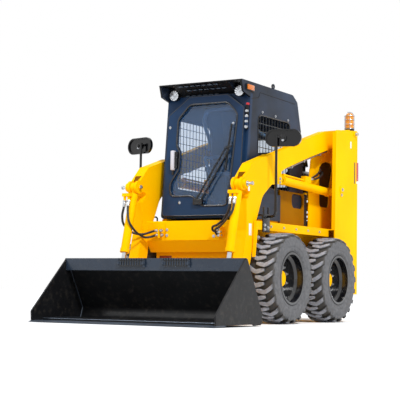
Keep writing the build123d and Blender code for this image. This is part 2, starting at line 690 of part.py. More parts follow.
def build_rear_glass():
    """Pane that follows the bent rear panel, inside its window."""
    half = CAB_HALF_WIDTH - CAB_WALL
    pane = [
        (299, CAB_CEILING_Z, 0), (366, 1762, 74), (CAB_REAR_Y - 6, 1180, 54),
        (CAB_REAR_Y - 6, CAB_BOTTOM_Z, 0),
        (CAB_REAR_Y - 12, CAB_BOTTOM_Z, 0), (CAB_REAR_Y - 12, 1179, 57), (360, 1761, 68),
        (293, CAB_CEILING_Z, 0),
    ]
    return side_outline(pane, -half, half) & REAR_WINDOW


REAR_WINDOW = block((-300, 300), (200, 480), (1250, 1700))


def build_seat():
    """Cushion and backrest as one plain soft block each, joined at the hips."""
    cushion = [(-130, 1010.3, 10), (-130, 1110, 30), (330, 1110, 20), (330, 1010.3, 10)]
    seat = side_outline(cushion, -230, 230)
    back = [(225, 1100, 0), (262, 1600, 30), (322, 1600, 25), (300, 1100, 0)]
    return seat + side_outline(back, -220, 220)


def build_levers():
    """Control lever with its pod on each side of the seat."""
    levers = []
    for side in (1, -1):
        x = side * 290
        pod = block((x - 60, x + 60), (-110, 0), (CAB_BOTTOM_Z + 14, 1090))
        grip = bar((x, -98, 1290), (x, -118, 1400), 22)
        levers.append(pod + bar((x, -60, 1080), (x, -100, 1300), 12) + grip)
    return group(levers)


def build_safety_bar():
    """Bar across the operator's lap, carried by two arms from the rear panel."""
    half = [(330, 373.2, 1560), (330, -120, 1500), (200, -230, 1330)]
    points = [(-x, y, z) for x, y, z in half] + half[::-1]
    return bent_tube(points, 14, 60)


def build_headlights():
    """Round lamps that hang from the visor on short posts."""
    middle = sum(LAMP_Y) / 2
    lights = []
    for x in (-LAMP_X, LAMP_X):
        lamp = bar((x, LAMP_Y[0], LAMP_Z), (x, LAMP_Y[1], LAMP_Z), LAMP_R)
        top = CAB_ROOF_Z - ROOF_PLATE - RUNNING_GAP
        lights.append(lamp + bar((x, middle, LAMP_Z), (x, middle, top), LAMP_POST_R))
    return group(lights)


def build_markers():
    """Side marker lamps on the roof's cheeks."""
    lamps = []
    for side in (1, -1):
        x = sorted((side * CAB_HALF_WIDTH, side * (CAB_HALF_WIDTH + MARKER_PROUD)))
        lamps.append(block(x, MARKER_Y, MARKER_Z))
    return group(lamps)


def build_beacon():
    """Beacon on the cap of the left-hand tower."""
    x, y = BEACON_PLACE
    low = TOWER_TOP_REAR_Z - TOWER_CAP_DROP + RUNNING_GAP
    base_top = low + BEACON_BASE_HEIGHT
    base = bar((x, y, low), (x, y, base_top), BEACON_R + 4)
    dome = bar((x, y, base_top), (x, y, BEACON_SHOULDER_Z), BEACON_R)
    return base + dome + Pos(x, y, BEACON_SHOULDER_Z) * Sphere(BEACON_R)


def build_mirror():
    """Bracket on the fender, bent stem and a pill-shaped shell with a raised rim at its front."""
    stem_x, stem_y = MIRROR_STEM
    turn = math.radians(MIRROR_TURN)
    centre = Plane(origin=MIRROR_CENTRE, x_dir=(math.cos(turn), math.sin(turn), 0),
                   z_dir=(-math.sin(turn), math.cos(turn), 0))
    outer = centre * SlotOverall(MIRROR_LENGTH, MIRROR_HEIGHT)
    inner = centre * SlotOverall(MIRROR_LENGTH - 2 * MIRROR_RIM, MIRROR_HEIGHT - 2 * MIRROR_RIM)
    mirror_head = extrude(outer, amount=14) + extrude(outer, amount=-12) - extrude(inner, amount=-13)
    stem = bent_tube([(604, stem_y, 905), (stem_x, stem_y, 905), (stem_x, stem_y, 1598)], MIRROR_STEM_R, 40)
    clamp = bar((stem_x, stem_y, 1585), (MIRROR_CENTRE[0], MIRROR_CENTRE[1] + 6, 1575), 10)
    bracket = block((FENDER_HALF_WIDTH, FENDER_HALF_WIDTH + 8), (stem_y - 50, stem_y + 40), (790, 920))
    return bracket + stem + clamp + mirror_head


# ---------------------------------------------------------------- boom
NOSE_OUTLINE = [
    (ARM_STEP_Y[0], 1457, 0), (-846, 1346, 30), (-972, 1221, 12), (-960, 1128, 30), (-856, 1108, 20),
    (-938, 1036, 30),
    (-932, 780, 60), (-987, 546, 150), (-1088, 225, 50), (-1046, 146, 45), (-984, 190, 45),
    (-850, 550, 100),
    (-810, 744, 100), (-755, 880, 160), (-655, 1082, 160), (ARM_STEP_Y[0], 1193, 0),
]
BEAM_OUTLINE = [
    (-600, 1412, 0), (-149, 1553, 400), (141, 1648, 400), (614, 1786, 300), (867, 1826, 120),
    (1020, 1832, 50),
    (1026, 1725, 50), (900, 1690, 60), (790, 1646, 120), (311, 1514, 200), (-177, 1366, 200),
    (-314, 1311, 20),
    (-262, 1292, 8), (-262, 1215, 12), (-480, 1194, 0), (-600, 1130, 0),
]


def build_arm():
    """Arm of the boom: a wide nose, a narrower beam behind it and a sloping step between them."""
    arm = side_outline(NOSE_OUTLINE, ARM_INNER_X, ARM_OUTER_X)
    arm += side_outline(BEAM_OUTLINE, BEAM_INNER_X, BEAM_OUTER_X)
    step_from, step_to = ARM_STEP_Y
    for beam_x, nose_x in ((BEAM_OUTER_X, ARM_OUTER_X), (BEAM_INNER_X, ARM_INNER_X)):
        corners = [(beam_x, step_from, 1100), (nose_x, step_from, 1100), (beam_x, step_to, 1100)]
        wedge = extrude(make_face(Polyline(*corners, close=True)), amount=500, dir=(0, 0, 1))
        arm += wedge & side_outline(BEAM_OUTLINE, ARM_INNER_X, ARM_OUTER_X)
    slot = EYE_HALF_WIDTH + 4
    arm += cross_bar(TILT_TOP_PIN, ARM_INNER_X, ARM_OUTER_X, TILT_BOSS_R)
    clevis = [(-1100, 1060, 0), (-1100, 1224, 0), (-945, 1224, 0), (-930, 1180, 0), (-930, 1060, 0)]
    arm -= side_outline(clevis, CYLINDER_X - slot, CYLINDER_X + slot)
    eye_slot = [(-400, 1150, 0), (-400, 1322, 40), (-160, 1322, 0), (-160, 1150, 0)]
    arm -= side_outline(eye_slot, CYLINDER_X - slot, CYLINDER_X + slot)
    arm += cross_bar(BOOM_PIVOT, BEAM_INNER_X - 12, TOWER_OUTER_X - TOWER_PLATE - MOVING_GAP, PIVOT_BOSS_R)
    arm -= cross_bar(BOOM_PIVOT, BEAM_INNER_X - 13, TOWER_OUTER_X, PIN_R + RUNNING_GAP)
    arm -= cross_bar(BUCKET_PIVOT, ARM_INNER_X - 1, ARM_OUTER_X + 1, PIN_R + RUNNING_GAP)
    arm += cross_bar(TILT_TOP_PIN, ARM_INNER_X - 14, ARM_OUTER_X + 14, PIN_R)
    arm += cross_bar(TILT_TOP_PIN, ARM_OUTER_X, ARM_OUTER_X + 28, TILT_BOSS_R - 18)
    return arm + cross_bar(TILT_TOP_PIN, ARM_OUTER_X + 28, ARM_OUTER_X + 84, 9)


def build_cross_beam():
    """Box beam between the arms with a raised front panel and two bulkheads for the hoses."""
    outline = [
        (CROSS_FRONT_Y + CROSS_PANEL_THICK, CROSS_TOP_Z, 12),
        (CROSS_FRONT_Y + CROSS_PANEL_THICK, CROSS_LOW_Z, 12),
        (CROSS_REAR_Y - 20, CROSS_BOTTOM_Z, 0), (CROSS_REAR_Y, CROSS_BOTTOM_Z, 0),
        (CROSS_REAR_Y, CROSS_TOP_Z - 30, 0),
        (CROSS_REAR_Y - 26, CROSS_TOP_Z, 12),
    ]
    beam = side_outline(outline, -ARM_INNER_X, ARM_INNER_X)
    panel = (CROSS_FRONT_Y, CROSS_FRONT_Y + CROSS_PANEL_THICK)
    beam += block((-CROSS_PANEL_X, CROSS_PANEL_X), panel, (CROSS_LOW_Z + 4, CROSS_TOP_Z - 4))
    for x in BULKHEAD_X:
        beam += block((x, x + 8), (CROSS_FRONT_Y - 56, CROSS_FRONT_Y + CROSS_PANEL_THICK), (722, 812))
    return beam


def hose(points, radius, last_bend):
    """A hose along straight runs whose bends are as wide as the runs allow."""
    vectors = [Vector(*point) for point in points]
    radii = []
    for before, here, after in zip(vectors, vectors[1:], vectors[2:]):
        arriving = here - before
        leaving = after - here
        turn = math.radians(arriving.get_angle(leaving))
        radii.append(0.45 * min(arriving.length, leaving.length) / math.tan(turn / 2))
    radii[-1] = min(radii[-1], last_bend)
    path = FilletPolyline(*points, radius=radii)
    start = Plane(origin=path @ 0, z_dir=path % 0)
    return sweep(start * Circle(radius), path=path)


# Routes of the hoses from the tilt cylinders' nipples to the bulkheads, (x, y, z)
TILT_AXIS_SLOPE = (TILT_TOP_PIN[0] - TILT_LOW_PIN[0]) / (TILT_TOP_PIN[1] - TILT_LOW_PIN[1])
NIPPLE_LINE_Y = TILT_TOP_PIN[0] - (TILT_TOP_PIN[1] - NIPPLE_Z) * TILT_AXIS_SLOPE + NIPPLE_Y
HOSE_TOP_Z = NIPPLE_Z - NIPPLE_LENGTH - 6.0
HOSE_ROUTES = {
    "left": (
        [
            (485, NIPPLE_LINE_Y, HOSE_TOP_Z), (486, -1080, 975), (463, -1064, 928), (400, -1020, 866),
            (300, -962, 822), (236, -930, 812), (228, -915, 780), (262, -908, 768),
            (BULKHEAD_X[1], -908, 768),
        ],
        [
            (525, NIPPLE_LINE_Y, HOSE_TOP_Z), (529, -1089, 975), (525, -1103, 925), (490, -1110, 878),
            (407, -1040, 838), (330, -975, 806), (270, -945, 790), (262, -912, 756), (272, -898, 740),
            (BULKHEAD_X[1], -898, 740),
        ],
    ),
    "right": (
        [
            (-566, NIPPLE_LINE_Y, HOSE_TOP_Z), (-568, -1078, 975), (-587, -1074, 920), (-590, -1058, 840),
            (-535, -1000, 764), (-450, -958, 748), (-388, -915, 774), (-350, -905, 786),
            (BULKHEAD_X[0], -905, 786),
        ],
        [
            (-525, NIPPLE_LINE_Y, HOSE_TOP_Z), (-519, -1089, 975), (-507, -1103, 920), (-486, -1118, 850),
            (-452, -1064, 768), (-434, -945, 722), (-385, -905, 734), (-352, -893, 748),
            (BULKHEAD_X[0], -893, 748),
        ],
    ),
}


def build_hoses(side):
    """The two hoses of a tilt cylinder."""
    return group([hose(route, HOSE_R, 30) for route in HOSE_ROUTES[side]])


# Pipe under the beam: its line as (y, z), and its clips as (run, distance along the run)
PIPE_LINE = [(-120, 1368.7), (311, 1499.4), (700, 1606.7)]
PIPE_CLIPS = [(0, 70), (0, 330), (1, 240)]
PIPE_CLIP_DEPTH = 27.4


def build_pipe():
    """Steel pipe under the beam, held by three clips."""
    pipe = hose([(PIPE_X, y, z) for y, z in PIPE_LINE], PIPE_R, 400)
    for run, distance in PIPE_CLIPS:
        start, end = PIPE_LINE[run], PIPE_LINE[run + 1]
        y, z = along_line(start, end, distance)
        along = (0, end[0] - start[0], end[1] - start[1])
        place = Plane(origin=(PIPE_X, y, z), x_dir=(1, 0, 0), z_dir=along)
        pipe += place * Box(26, PIPE_CLIP_DEPTH, 24)
    return pipe


# ---------------------------------------------------------------- cylinders
def along_line(start, end, distance):
    """The point at a distance from start towards end, all as (y, z)."""
    length = math.dist(start, end)
    return tuple(a + (b - a) * distance / length for a, b in zip(start, end))


def cylinder_pair(base_pin, rod_pin, gland, tail_at, barrel_r, rod_r):
    """Barrel and rod of a hydraulic cylinder lying between two pins. The barrel's mouth and
    the rod's tail lie gland and tail_at away from the base pin."""
    length = math.dist(base_pin, rod_pin)
    stations = (
        EYE_R - 6, FOOT_AT, gland - GLAND_LENGTH, gland, FOOT_AT + 10, gland + 1, tail_at,
        length - EYE_R + 8,
    )
    eye, foot, collar, mouth, bore_end, bore_mouth, tail, tip = [
        (CYLINDER_X, *along_line(base_pin, rod_pin, station)) for station in stations
    ]
    x_from = CYLINDER_X - EYE_HALF_WIDTH
    x_to = CYLINDER_X + EYE_HALF_WIDTH
    barrel = bar(eye, foot, NECK_R) + bar(foot, mouth, barrel_r) + bar(collar, mouth, barrel_r + GLAND_STEP)
    barrel += cross_bar(base_pin, x_from, x_to, EYE_R)
    barrel -= cross_bar(base_pin, x_from - 1, x_to + 1, PIN_R + RUNNING_GAP)
    barrel -= bar(bore_end, bore_mouth, rod_r + RUNNING_GAP)
    return barrel, bar(tail, tip, rod_r) + cross_bar(rod_pin, x_from, x_to, EYE_R)


def build_lift_pipe():
    """Pipe on top of a lift cylinder between two port blocks, placed by their distance from its rear pin."""
    slope = (LIFT_FRONT_PIN[1] - LIFT_REAR_PIN[1]) / (LIFT_FRONT_PIN[0] - LIFT_REAR_PIN[0])
    height = lambda y: LIFT_REAR_PIN[1] + (y - LIFT_REAR_PIN[0]) * slope
    front, rear = LIFT_PIPE_Y
    above = LIFT_BARREL_R + LIFT_PIPE_GAP
    ends = [(CYLINDER_X, y, height(y) + above) for y in (front, rear)]
    pipe = bar(*ends, LIFT_PIPE_R)
    for y_from, y_to, x_half, z_top in (LIFT_FRONT_PORT, LIFT_REAR_PORT):
        foot = height((y_from + y_to) / 2) + LIFT_BARREL_R - 6
        pipe += block((CYLINDER_X - x_half, CYLINDER_X + x_half), (y_from, y_to), (foot, foot + 6 + z_top))
    return pipe


def build_ports(side):
    """Port block on the front of a tilt cylinder with two nipples that point down."""
    near, far = NIPPLE_X[side]
    reach = (NIPPLE_LINE_Y - 18, NIPPLE_LINE_Y + 40)
    ports = block((near - 18, far + 20), reach, (NIPPLE_Z, NIPPLE_Z + 28))
    for x in (near, far):
        ports += bar((x, NIPPLE_LINE_Y, NIPPLE_Z - NIPPLE_LENGTH), (x, NIPPLE_LINE_Y, NIPPLE_Z), NIPPLE_R)
    return ports


# ---------------------------------------------------------------- bucket
BUCKET_SLOPE = (BUCKET_LIP[0] - BUCKET_BACK_LOW[0]) / (BUCKET_LIP[1] - BUCKET_BACK_LOW[1])


def bucket_back(z):
    """Y of the outside of the bucket's back plate at a height."""
    return BUCKET_BACK_LOW[0] + (z - BUCKET_BACK_LOW[1]) * BUCKET_SLOPE


def build_quick_attach():
    """Frame behind the bucket with its lugs and pins."""
    back = bucket_back
    seat = RUNNING_GAP + 0.1
    plate = [
        (back(470) + seat, 470, 0), (back(160) + seat, 160, 0), (back(160) + 20, 160, 0),
        (back(470) + 20, 470, 0),
    ]
    frame = side_outline(plate, -LUG_OUTER_X, LUG_OUTER_X)
    lug = [
        (back(455) + 8, 455, 0), (TILT_LOW_PIN[0] - 20, TILT_LOW_PIN[1] + 52, 40),
        (TILT_LOW_PIN[0] + 45, TILT_LOW_PIN[1], 40),
        (BUCKET_PIVOT[0] + 48, BUCKET_PIVOT[1] + 20, 40), (BUCKET_PIVOT[0] + 30, BUCKET_PIVOT[1] - 48, 30),
        (back(160) + 8, 160, 0),
    ]
    inner = ARM_INNER_X - MOVING_GAP
    outer = ARM_OUTER_X + MOVING_GAP
    stub = EYE_HALF_WIDTH + 2
    for side in (1, -1):
        for x_from, x_to in ((inner - LUG_PLATE, inner), (outer, outer + LUG_PLATE)):
            frame += side_outline(lug, *sorted((side * x_from, side * x_to)))
        frame += cross_bar(BUCKET_PIVOT, side * (inner - 1), side * (outer + 1), PIN_R)
        frame += cross_bar(TILT_LOW_PIN, side * (inner - 1), side * (CYLINDER_X - stub), PIN_R)
        frame += cross_bar(TILT_LOW_PIN, side * (CYLINDER_X + stub), side * (outer + 1), PIN_R)
    return frame


def build_bucket():
    """Flat-bottomed bucket with a box section along its lip."""
    half = BUCKET_HALF_WIDTH
    side_rows = [
        (-1489, 530, 8), (-1465, 522, 8), (-1213, 94, 30), (-1226, 10, 20), (-1344, 6, 0),
        (-1360, BUCKET_FLOOR_Z, 0),
        (-1941, BUCKET_FLOOR_Z, 0), (-1947, 91, 20),
    ]
    shell_rows = [
        (-1500, 530, 0), (*BUCKET_LIP, 0), (*BUCKET_BACK_LOW, 60), (-1270, BUCKET_FLOOR_Z, 40),
        (-1800, BUCKET_FLOOR_Z, 0),
        (-1800, BUCKET_FLOOR_Z + BUCKET_PLATE, 0), (-1275, BUCKET_FLOOR_Z + BUCKET_PLATE, 50),
        (-1244, 104, 50),
        (-1486, 518, 0), (-1500, 518, 0),
    ]
    band_back = bucket_back(LIP_BAND_Z) - 4
    lip_band = [
        (-1500, 530, 0), (-1500, LIP_BAND_Z, 0), (band_back, LIP_BAND_Z, 0),
        (band_back - 6, LIP_BAND_Z + 8, 0),
        (-1491, LIP_BAND_Z + 8, 0), (-1491, 530, 0),
    ]
    bucket = side_outline(shell_rows, -half + 2, half - 2) + side_outline(lip_band, -half + 2, half - 2)
    for side in (1, -1):
        bucket += side_outline(side_rows, *sorted((side * half, side * (half - BUCKET_SIDE))))
    return bucket


def build_cutting_edge():
    """Hardened strip along the front of the floor."""
    edge = [
        (FRONT_END_Y, 4, 0), (FRONT_END_Y + EDGE_DEPTH, 4, 0),
        (FRONT_END_Y + EDGE_DEPTH, BUCKET_FLOOR_Z, 0),
        (FRONT_END_Y + 40, BUCKET_FLOOR_Z, 0), (FRONT_END_Y, 8, 0),
    ]
    return side_outline(edge, -BUCKET_HALF_WIDTH, BUCKET_HALF_WIDTH)


def build_steps():
    """Two step plates on the bucket's lip."""
    return group([block(limits, STEP_Y, STEP_Z) for limits in STEPS_X])


def build_all():
    pieces = build_wheels()
    pieces["main_frame"] = build_main_frame()
    pieces["axle_tubes"] = build_axle_tubes()
    pieces["engine"] = build_engine()
    pieces["engine_door"] = build_engine_door()
    pieces["engine_door_hinge"] = build_engine_hinge()
    pieces["hood"] = build_hood()
    pieces["rear_bumper"] = build_bumper()
    pieces["cab_floor"] = build_cab_floor()
    pieces["cab_front"] = build_cab_front()
    pieces["cab_roof"] = build_cab_roof()
    pieces["cab_rear"] = build_cab_rear()
    pieces["rear_glass"] = build_rear_glass()
    pieces["cab_door"] = build_cab_door()
    pieces["door_glass"] = build_door_glass()
    pieces["seat"] = build_seat()
    pieces["levers"] = build_levers()
    pieces["safety_bar"] = build_safety_bar()
    pieces["headlights"] = build_headlights()
    pieces["marker_lights"] = build_markers()
    pieces["beacon"] = build_beacon()
    pieces["cross_beam"] = build_cross_beam()
    pieces["quick_attach"] = build_quick_attach()
    pieces["bucket"] = build_bucket()
    pieces["cutting_edge"] = build_cutting_edge()
    pieces["bucket_steps"] = build_steps()
    for name, piece in (
        ("fenders", build_fender()),
        ("side_covers", build_side_cover()),
        ("tower_guards", build_tower_guard()),
        ("side_screens", build_side_screen()),
        ("mirrors", build_mirror()),
        ("boom_pipes", build_pipe()),
    ):
        pieces[name] = group([piece, mirrored(piece)])
    lift = cylinder_pair(LIFT_REAR_PIN, LIFT_FRONT_PIN, LIFT_GLAND, LIFT_TAIL, LIFT_BARREL_R, LIFT_ROD_R)
    tilt = cylinder_pair(TILT_TOP_PIN, TILT_LOW_PIN, TILT_GLAND, TILT_TAIL, TILT_BARREL_R, TILT_ROD_R)
    for name, piece in (
        ("tower_outer", build_tower_outer()),
        ("tower_inner", build_tower_inner()),
        ("cab_side", build_cab_side()),
        ("arm", build_arm()),
        ("lift_barrel", lift[0] + build_lift_pipe()),
        ("lift_rod", lift[1]),
        ("tilt_barrel", tilt[0]),
        ("tilt_rod", tilt[1]),
    ):
        pieces[name + "_left"] = piece
        pieces[name + "_right"] = mirrored(piece)
    pieces["tilt_barrel_left"] += build_ports("left")
    pieces["tilt_barrel_right"] += build_ports("right")
    pieces["boom_hoses_left"] = build_hoses("left")
    pieces["boom_hoses_right"] = build_hoses("right")
    return pieces


def main():
    os.makedirs("parts", exist_ok=True)
    for name, piece in build_all().items():
        export_step(Pos(0, -MIDDLE_Y, 0) * piece, f"parts/{name}.step")


if __name__ == "__main__":
    main()
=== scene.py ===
import bpy
import bmesh
import math
from mathutils import Matrix, Vector


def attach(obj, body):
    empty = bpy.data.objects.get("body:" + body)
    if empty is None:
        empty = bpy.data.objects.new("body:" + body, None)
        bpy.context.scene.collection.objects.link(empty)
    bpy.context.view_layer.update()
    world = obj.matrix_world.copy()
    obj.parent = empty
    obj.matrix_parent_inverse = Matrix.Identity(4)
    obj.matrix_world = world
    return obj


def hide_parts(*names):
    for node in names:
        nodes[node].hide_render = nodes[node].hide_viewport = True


# Skid steer loader. Metres; the bucket points to -Y, +X is the machine's own left.
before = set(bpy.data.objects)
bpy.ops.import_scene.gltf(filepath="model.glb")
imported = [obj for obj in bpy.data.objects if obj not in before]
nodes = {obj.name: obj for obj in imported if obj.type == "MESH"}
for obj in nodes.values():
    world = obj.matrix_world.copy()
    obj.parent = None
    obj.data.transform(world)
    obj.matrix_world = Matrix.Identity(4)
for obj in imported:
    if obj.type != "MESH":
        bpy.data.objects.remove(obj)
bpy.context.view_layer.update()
scene = bpy.context.scene
print("frame loaded,", len(nodes), "nodes")


# Colours and nodes
def linearColour(hexText):
    channels = []
    for start in (1, 3, 5):
        value = int(hexText[start:start + 2], 16) / 255
        channels.append(value / 12.92 if value <= 0.04045 else ((value + 0.055) / 1.055) ** 2.4)
    return (*channels, 1.0)


def addNode(tree, kind, settings):
    # A value that is another node's socket is linked, a ramp's stops are laid out, the rest is set.
    node = tree.nodes.new(kind)
    for key, value in settings.items():
        if isinstance(value, bpy.types.NodeSocket):
            tree.links.new(value, node.inputs[key])
        elif key == "stops":
            for band, (position, colour) in zip(node.color_ramp.elements, value):
                band.position = position
                band.color = linearColour(colour)
        elif isinstance(key, str) and hasattr(node, key):
            setattr(node, key, value)
        else:
            node.inputs[key].default_value = value
    return node


def newMaterial(name, settings):
    material = bpy.data.materials.new(name)
    material.use_nodes = True
    tree = material.node_tree
    tree.nodes.clear()
    shader = addNode(tree, "ShaderNodeBsdfPrincipled", settings)
    addNode(tree, "ShaderNodeOutputMaterial", {0: shader.outputs[0]})
    place = addNode(tree, "ShaderNodeTexCoord", {}).outputs["Object"]
    return material, tree, shader, place


def connect(tree, shader, colour, roughness=None, normal=None):
    for key, source in (("Base Color", colour), ("Roughness", roughness), ("Normal", normal)):
        if source:
            tree.links.new(source, shader.inputs[key])


# Pattern sizes of paint in millimetres, the peel's depth and the dust's heights in metres. The peel is
# coarser than on the machine, so that it shows.
paintPattern = {"drift": 454.5, "speck": 41.67, "wear": 111.1, "peel": 2.381, "peelDepth": 0.0006,
                "dustColour": "#8f8577", "dustFrom": 0.05, "dustEnd": 0.9}


def paintMaterial(name, colours, roughness, coat=0.0, dust=0.1, peel=0.06, shine=0.5):
    # Sprayed paint: a colour that drifts a little, fine orange peel, dust that thins upwards.
    material, tree, shader, place = newMaterial(name, {
        "Roughness": roughness, "IOR": 1.5, "Specular IOR Level": shine, "Coat Weight": coat,
        "Coat Roughness": 0.12})
    noise = {}
    for part, detail, grit in (("drift", 4, 0.5), ("speck", 8, 0.62), ("wear", 5, 0.5), ("peel", 2, 0.5)):
        noise[part] = addNode(tree, "ShaderNodeTexNoise", {
            "Vector": place, "Scale": 1000 / paintPattern[part], "Detail": detail,
            "Roughness": grit}).outputs["Fac"]
    drift = addNode(tree, "ShaderNodeValToRGB", {
        0: noise["drift"], "stops": [(0.32, colours[0]), (0.68, colours[1])]})
    height = addNode(tree, "ShaderNodeSeparateXYZ", {0: place}).outputs[2]
    low = addNode(tree, "ShaderNodeMapRange", {
        "From Min": paintPattern["dustFrom"], "From Max": paintPattern["dustEnd"],
        "To Min": 1.0, "To Max": 0.0, "Value": height})
    speck = addNode(tree, "ShaderNodeMapRange", {
        "From Min": 0.52, "From Max": 0.75, "To Max": dust, "Value": noise["speck"]})
    amount = addNode(tree, "ShaderNodeMath", {
        "operation": "MULTIPLY", "use_clamp": True, 0: low.outputs[0], 1: speck.outputs[0]})
    colour = addNode(tree, "ShaderNodeMix", {
        "data_type": "RGBA", 0: amount.outputs[0], 6: drift.outputs[0],
        7: linearColour(paintPattern["dustColour"])})
    wear = addNode(tree, "ShaderNodeMapRange", {
        "To Min": roughness - 0.06, "To Max": roughness + 0.10, "Value": noise["wear"]})
    bump = addNode(tree, "ShaderNodeBump", {
        "Strength": peel, "Distance": paintPattern["peelDepth"], "Height": noise["peel"]})
    connect(tree, shader, colour.outputs[2], wear.outputs[0], bump.outputs[0])
    return material


def plainMaterial(name, colour, roughness, metallic=0.0, grain=5.0, depth=0.2):
    # A small part's finish: one colour with a grain, in millimetres, and an uneven gloss.
    material, tree, shader, place = newMaterial(name, {"Roughness": roughness, "Metallic": metallic})
    broad, slow, fine = [
        addNode(tree, "ShaderNodeTexNoise", {
            "Vector": place, "Scale": share * 1000 / grain, "Detail": detail}).outputs["Fac"]
        for share, detail in ((1.0, 5.0), (0.4, 4.0), (6.0, 3.0))]
    full = linearColour(colour)
    darker = (*(channel * 0.75 for channel in full[:3]), 1.0)
    base = addNode(tree, "ShaderNodeMix", {"data_type": "RGBA", 0: broad, 6: darker, 7: full})
    sheen = addNode(tree, "ShaderNodeMapRange", {
        "To Min": max(roughness - 0.08, 0.02), "To Max": roughness + 0.12, "Value": slow})
    bump = addNode(tree, "ShaderNodeBump", {"Strength": depth, "Distance": 0.0005, "Height": fine})
    connect(tree, shader, base.outputs[2], sheen.outputs[0], bump.outputs[0])
    return material


def lensMaterial(name, colours, transmission, ribPitch=5.712):
    # Moulded acrylic lens with ribs inside, their pitch in millimetres: a band takes tau / 20 at scale 1.
    material, tree, shader, place = newMaterial(name, {
        "Roughness": 0.12, "IOR": 1.49, "Transmission Weight": transmission, "Coat Weight": 0.4})
    ribs = addNode(tree, "ShaderNodeTexWave", {
        "Vector": place, "Scale": math.tau / 20 / (ribPitch / 1000), "Distortion": 0.0}).outputs["Fac"]
    colour = addNode(tree, "ShaderNodeMix", {
        "data_type": "RGBA", 0: ribs, 6: linearColour(colours[0]), 7: linearColour(colours[1])})
    bump = addNode(tree, "ShaderNodeBump", {"Strength": 0.4, "Distance": 0.002, "Height": ribs})
    connect(tree, shader, colour.outputs[2], normal=bump.outputs[0])
    return material


glass = {"tint": "#dde7f2", "film": "#4f80b8", "patchSize": 500.0, "filmThin": 0.1, "filmThick": 0.17}


def glassMaterial(name):
    # Laminated cab glass under a thin film that scatters blue, thicker in slow patches.
    material, tree, shader, place = newMaterial(name, {
        "Roughness": 0.0, "IOR": 1.5, "Transmission Weight": 1.0, "Base Color": linearColour(glass["tint"])})
    film = addNode(tree, "ShaderNodeBsdfDiffuse", {"Color": linearColour(glass["film"])})
    patches = addNode(tree, "ShaderNodeTexNoise", {
        "Vector": place, "Scale": 1000 / glass["patchSize"], "Detail": 3.0}).outputs["Fac"]
    amount = addNode(tree, "ShaderNodeMapRange", {
        "From Min": 0.3, "From Max": 0.8, "To Min": glass["filmThin"], "To Max": glass["filmThick"],
        "Value": patches})
    mixed = addNode(tree, "ShaderNodeMixShader", {
        0: amount.outputs[0], 1: shader.outputs[0], 2: film.outputs[0]})
    output = next(node for node in tree.nodes if node.type == "OUTPUT_MATERIAL")
    tree.links.new(mixed.outputs[0], output.inputs[0])
    return material


paints = {
    # Two-pack enamel, sprayed on steel: a deep warm yellow, nearly matt in full light.
    "enamelYellow": {"colours": ("#ffb800", "#ffc200"), "roughness": 0.42, "shine": 0.02},
    # Semi-gloss black chassis paint on the cab's front and door, its colour tinted slate blue as a painted
    # reflection of the sky.
    "cabFrontPaint": {"colours": ("#132842", "#1b3656"), "roughness": 0.32, "shine": 0.2},
    # The same chassis paint on the cab's sides, greyer without the painted sky reflection, and flatter.
    "cabSidePaint": {"colours": ("#171c25", "#2c394e"), "roughness": 0.42, "shine": 0.2},
    # The same chassis paint darkened to near black as painted shade under and before the visor and inside
    # the cab, also in the side creases; the hinge straps take it too.
    "cabInnerPaint": {"colours": ("#060709", "#0b0d11"), "roughness": 0.45, "dust": 0.2, "shine": 0.2},
    # Black machine paint on the bucket, thicker, dulled by handling.
    "bucketPaint": {"colours": ("#0d0d0f", "#151618"), "roughness": 0.42, "dust": 0.12, "peel": 0.12,
                    "shine": 0.25},
    # The same black on the bucket's lip, still glossy, its colour tinted navy as a painted reflection of the
    # sky.
    "lipPaint": {"colours": ("#1b2634", "#24303f"), "roughness": 0.25, "coat": 0.2, "shine": 0.4},
    # Hardened edge plate, its paint scoured off in places, its colour lightened and blued as a painted
    # highlight.
    "wornSteel": {"colours": ("#2c333d", "#434c58"), "roughness": 0.38, "dust": 0.3, "peel": 0.2,
                  "shine": 0.4},
    # Gloss black wheel enamel.
    "wheelEnamel": {"colours": ("#0a0b0e", "#121318"), "roughness": 0.18, "coat": 0.5, "dust": 0.15},
    # Painted shade: the yellow enamel darkened to ochre on a sheet in the pocket over the tilt pin.
    "shadedOchre": {"colours": ("#6e4300", "#7d4f00"), "roughness": 0.6, "dust": 0.2, "shine": 0.05},
    # Blue-grey enamel of the tubes inside the cab.
    "slatePaint": {"colours": ("#4d6a8c", "#5f7fa3"), "roughness": 0.4, "shine": 0.3},
    # Chassis paint on the folded edges of the visor, where it stays glossy, lightened as a painted
    # highlight.
    "louvrePaint": {"colours": ("#39434f", "#4a5563"), "roughness": 0.25, "coat": 0.3},
    # Painted shade: the yellow enamel darkened to ochre on the sheets under the arms, which lie in deep
    # shade.
    "ochreSheet": {"colours": ("#8c5a00", "#a06a00"), "roughness": 0.6, "dust": 0.4, "shine": 0.05},
}
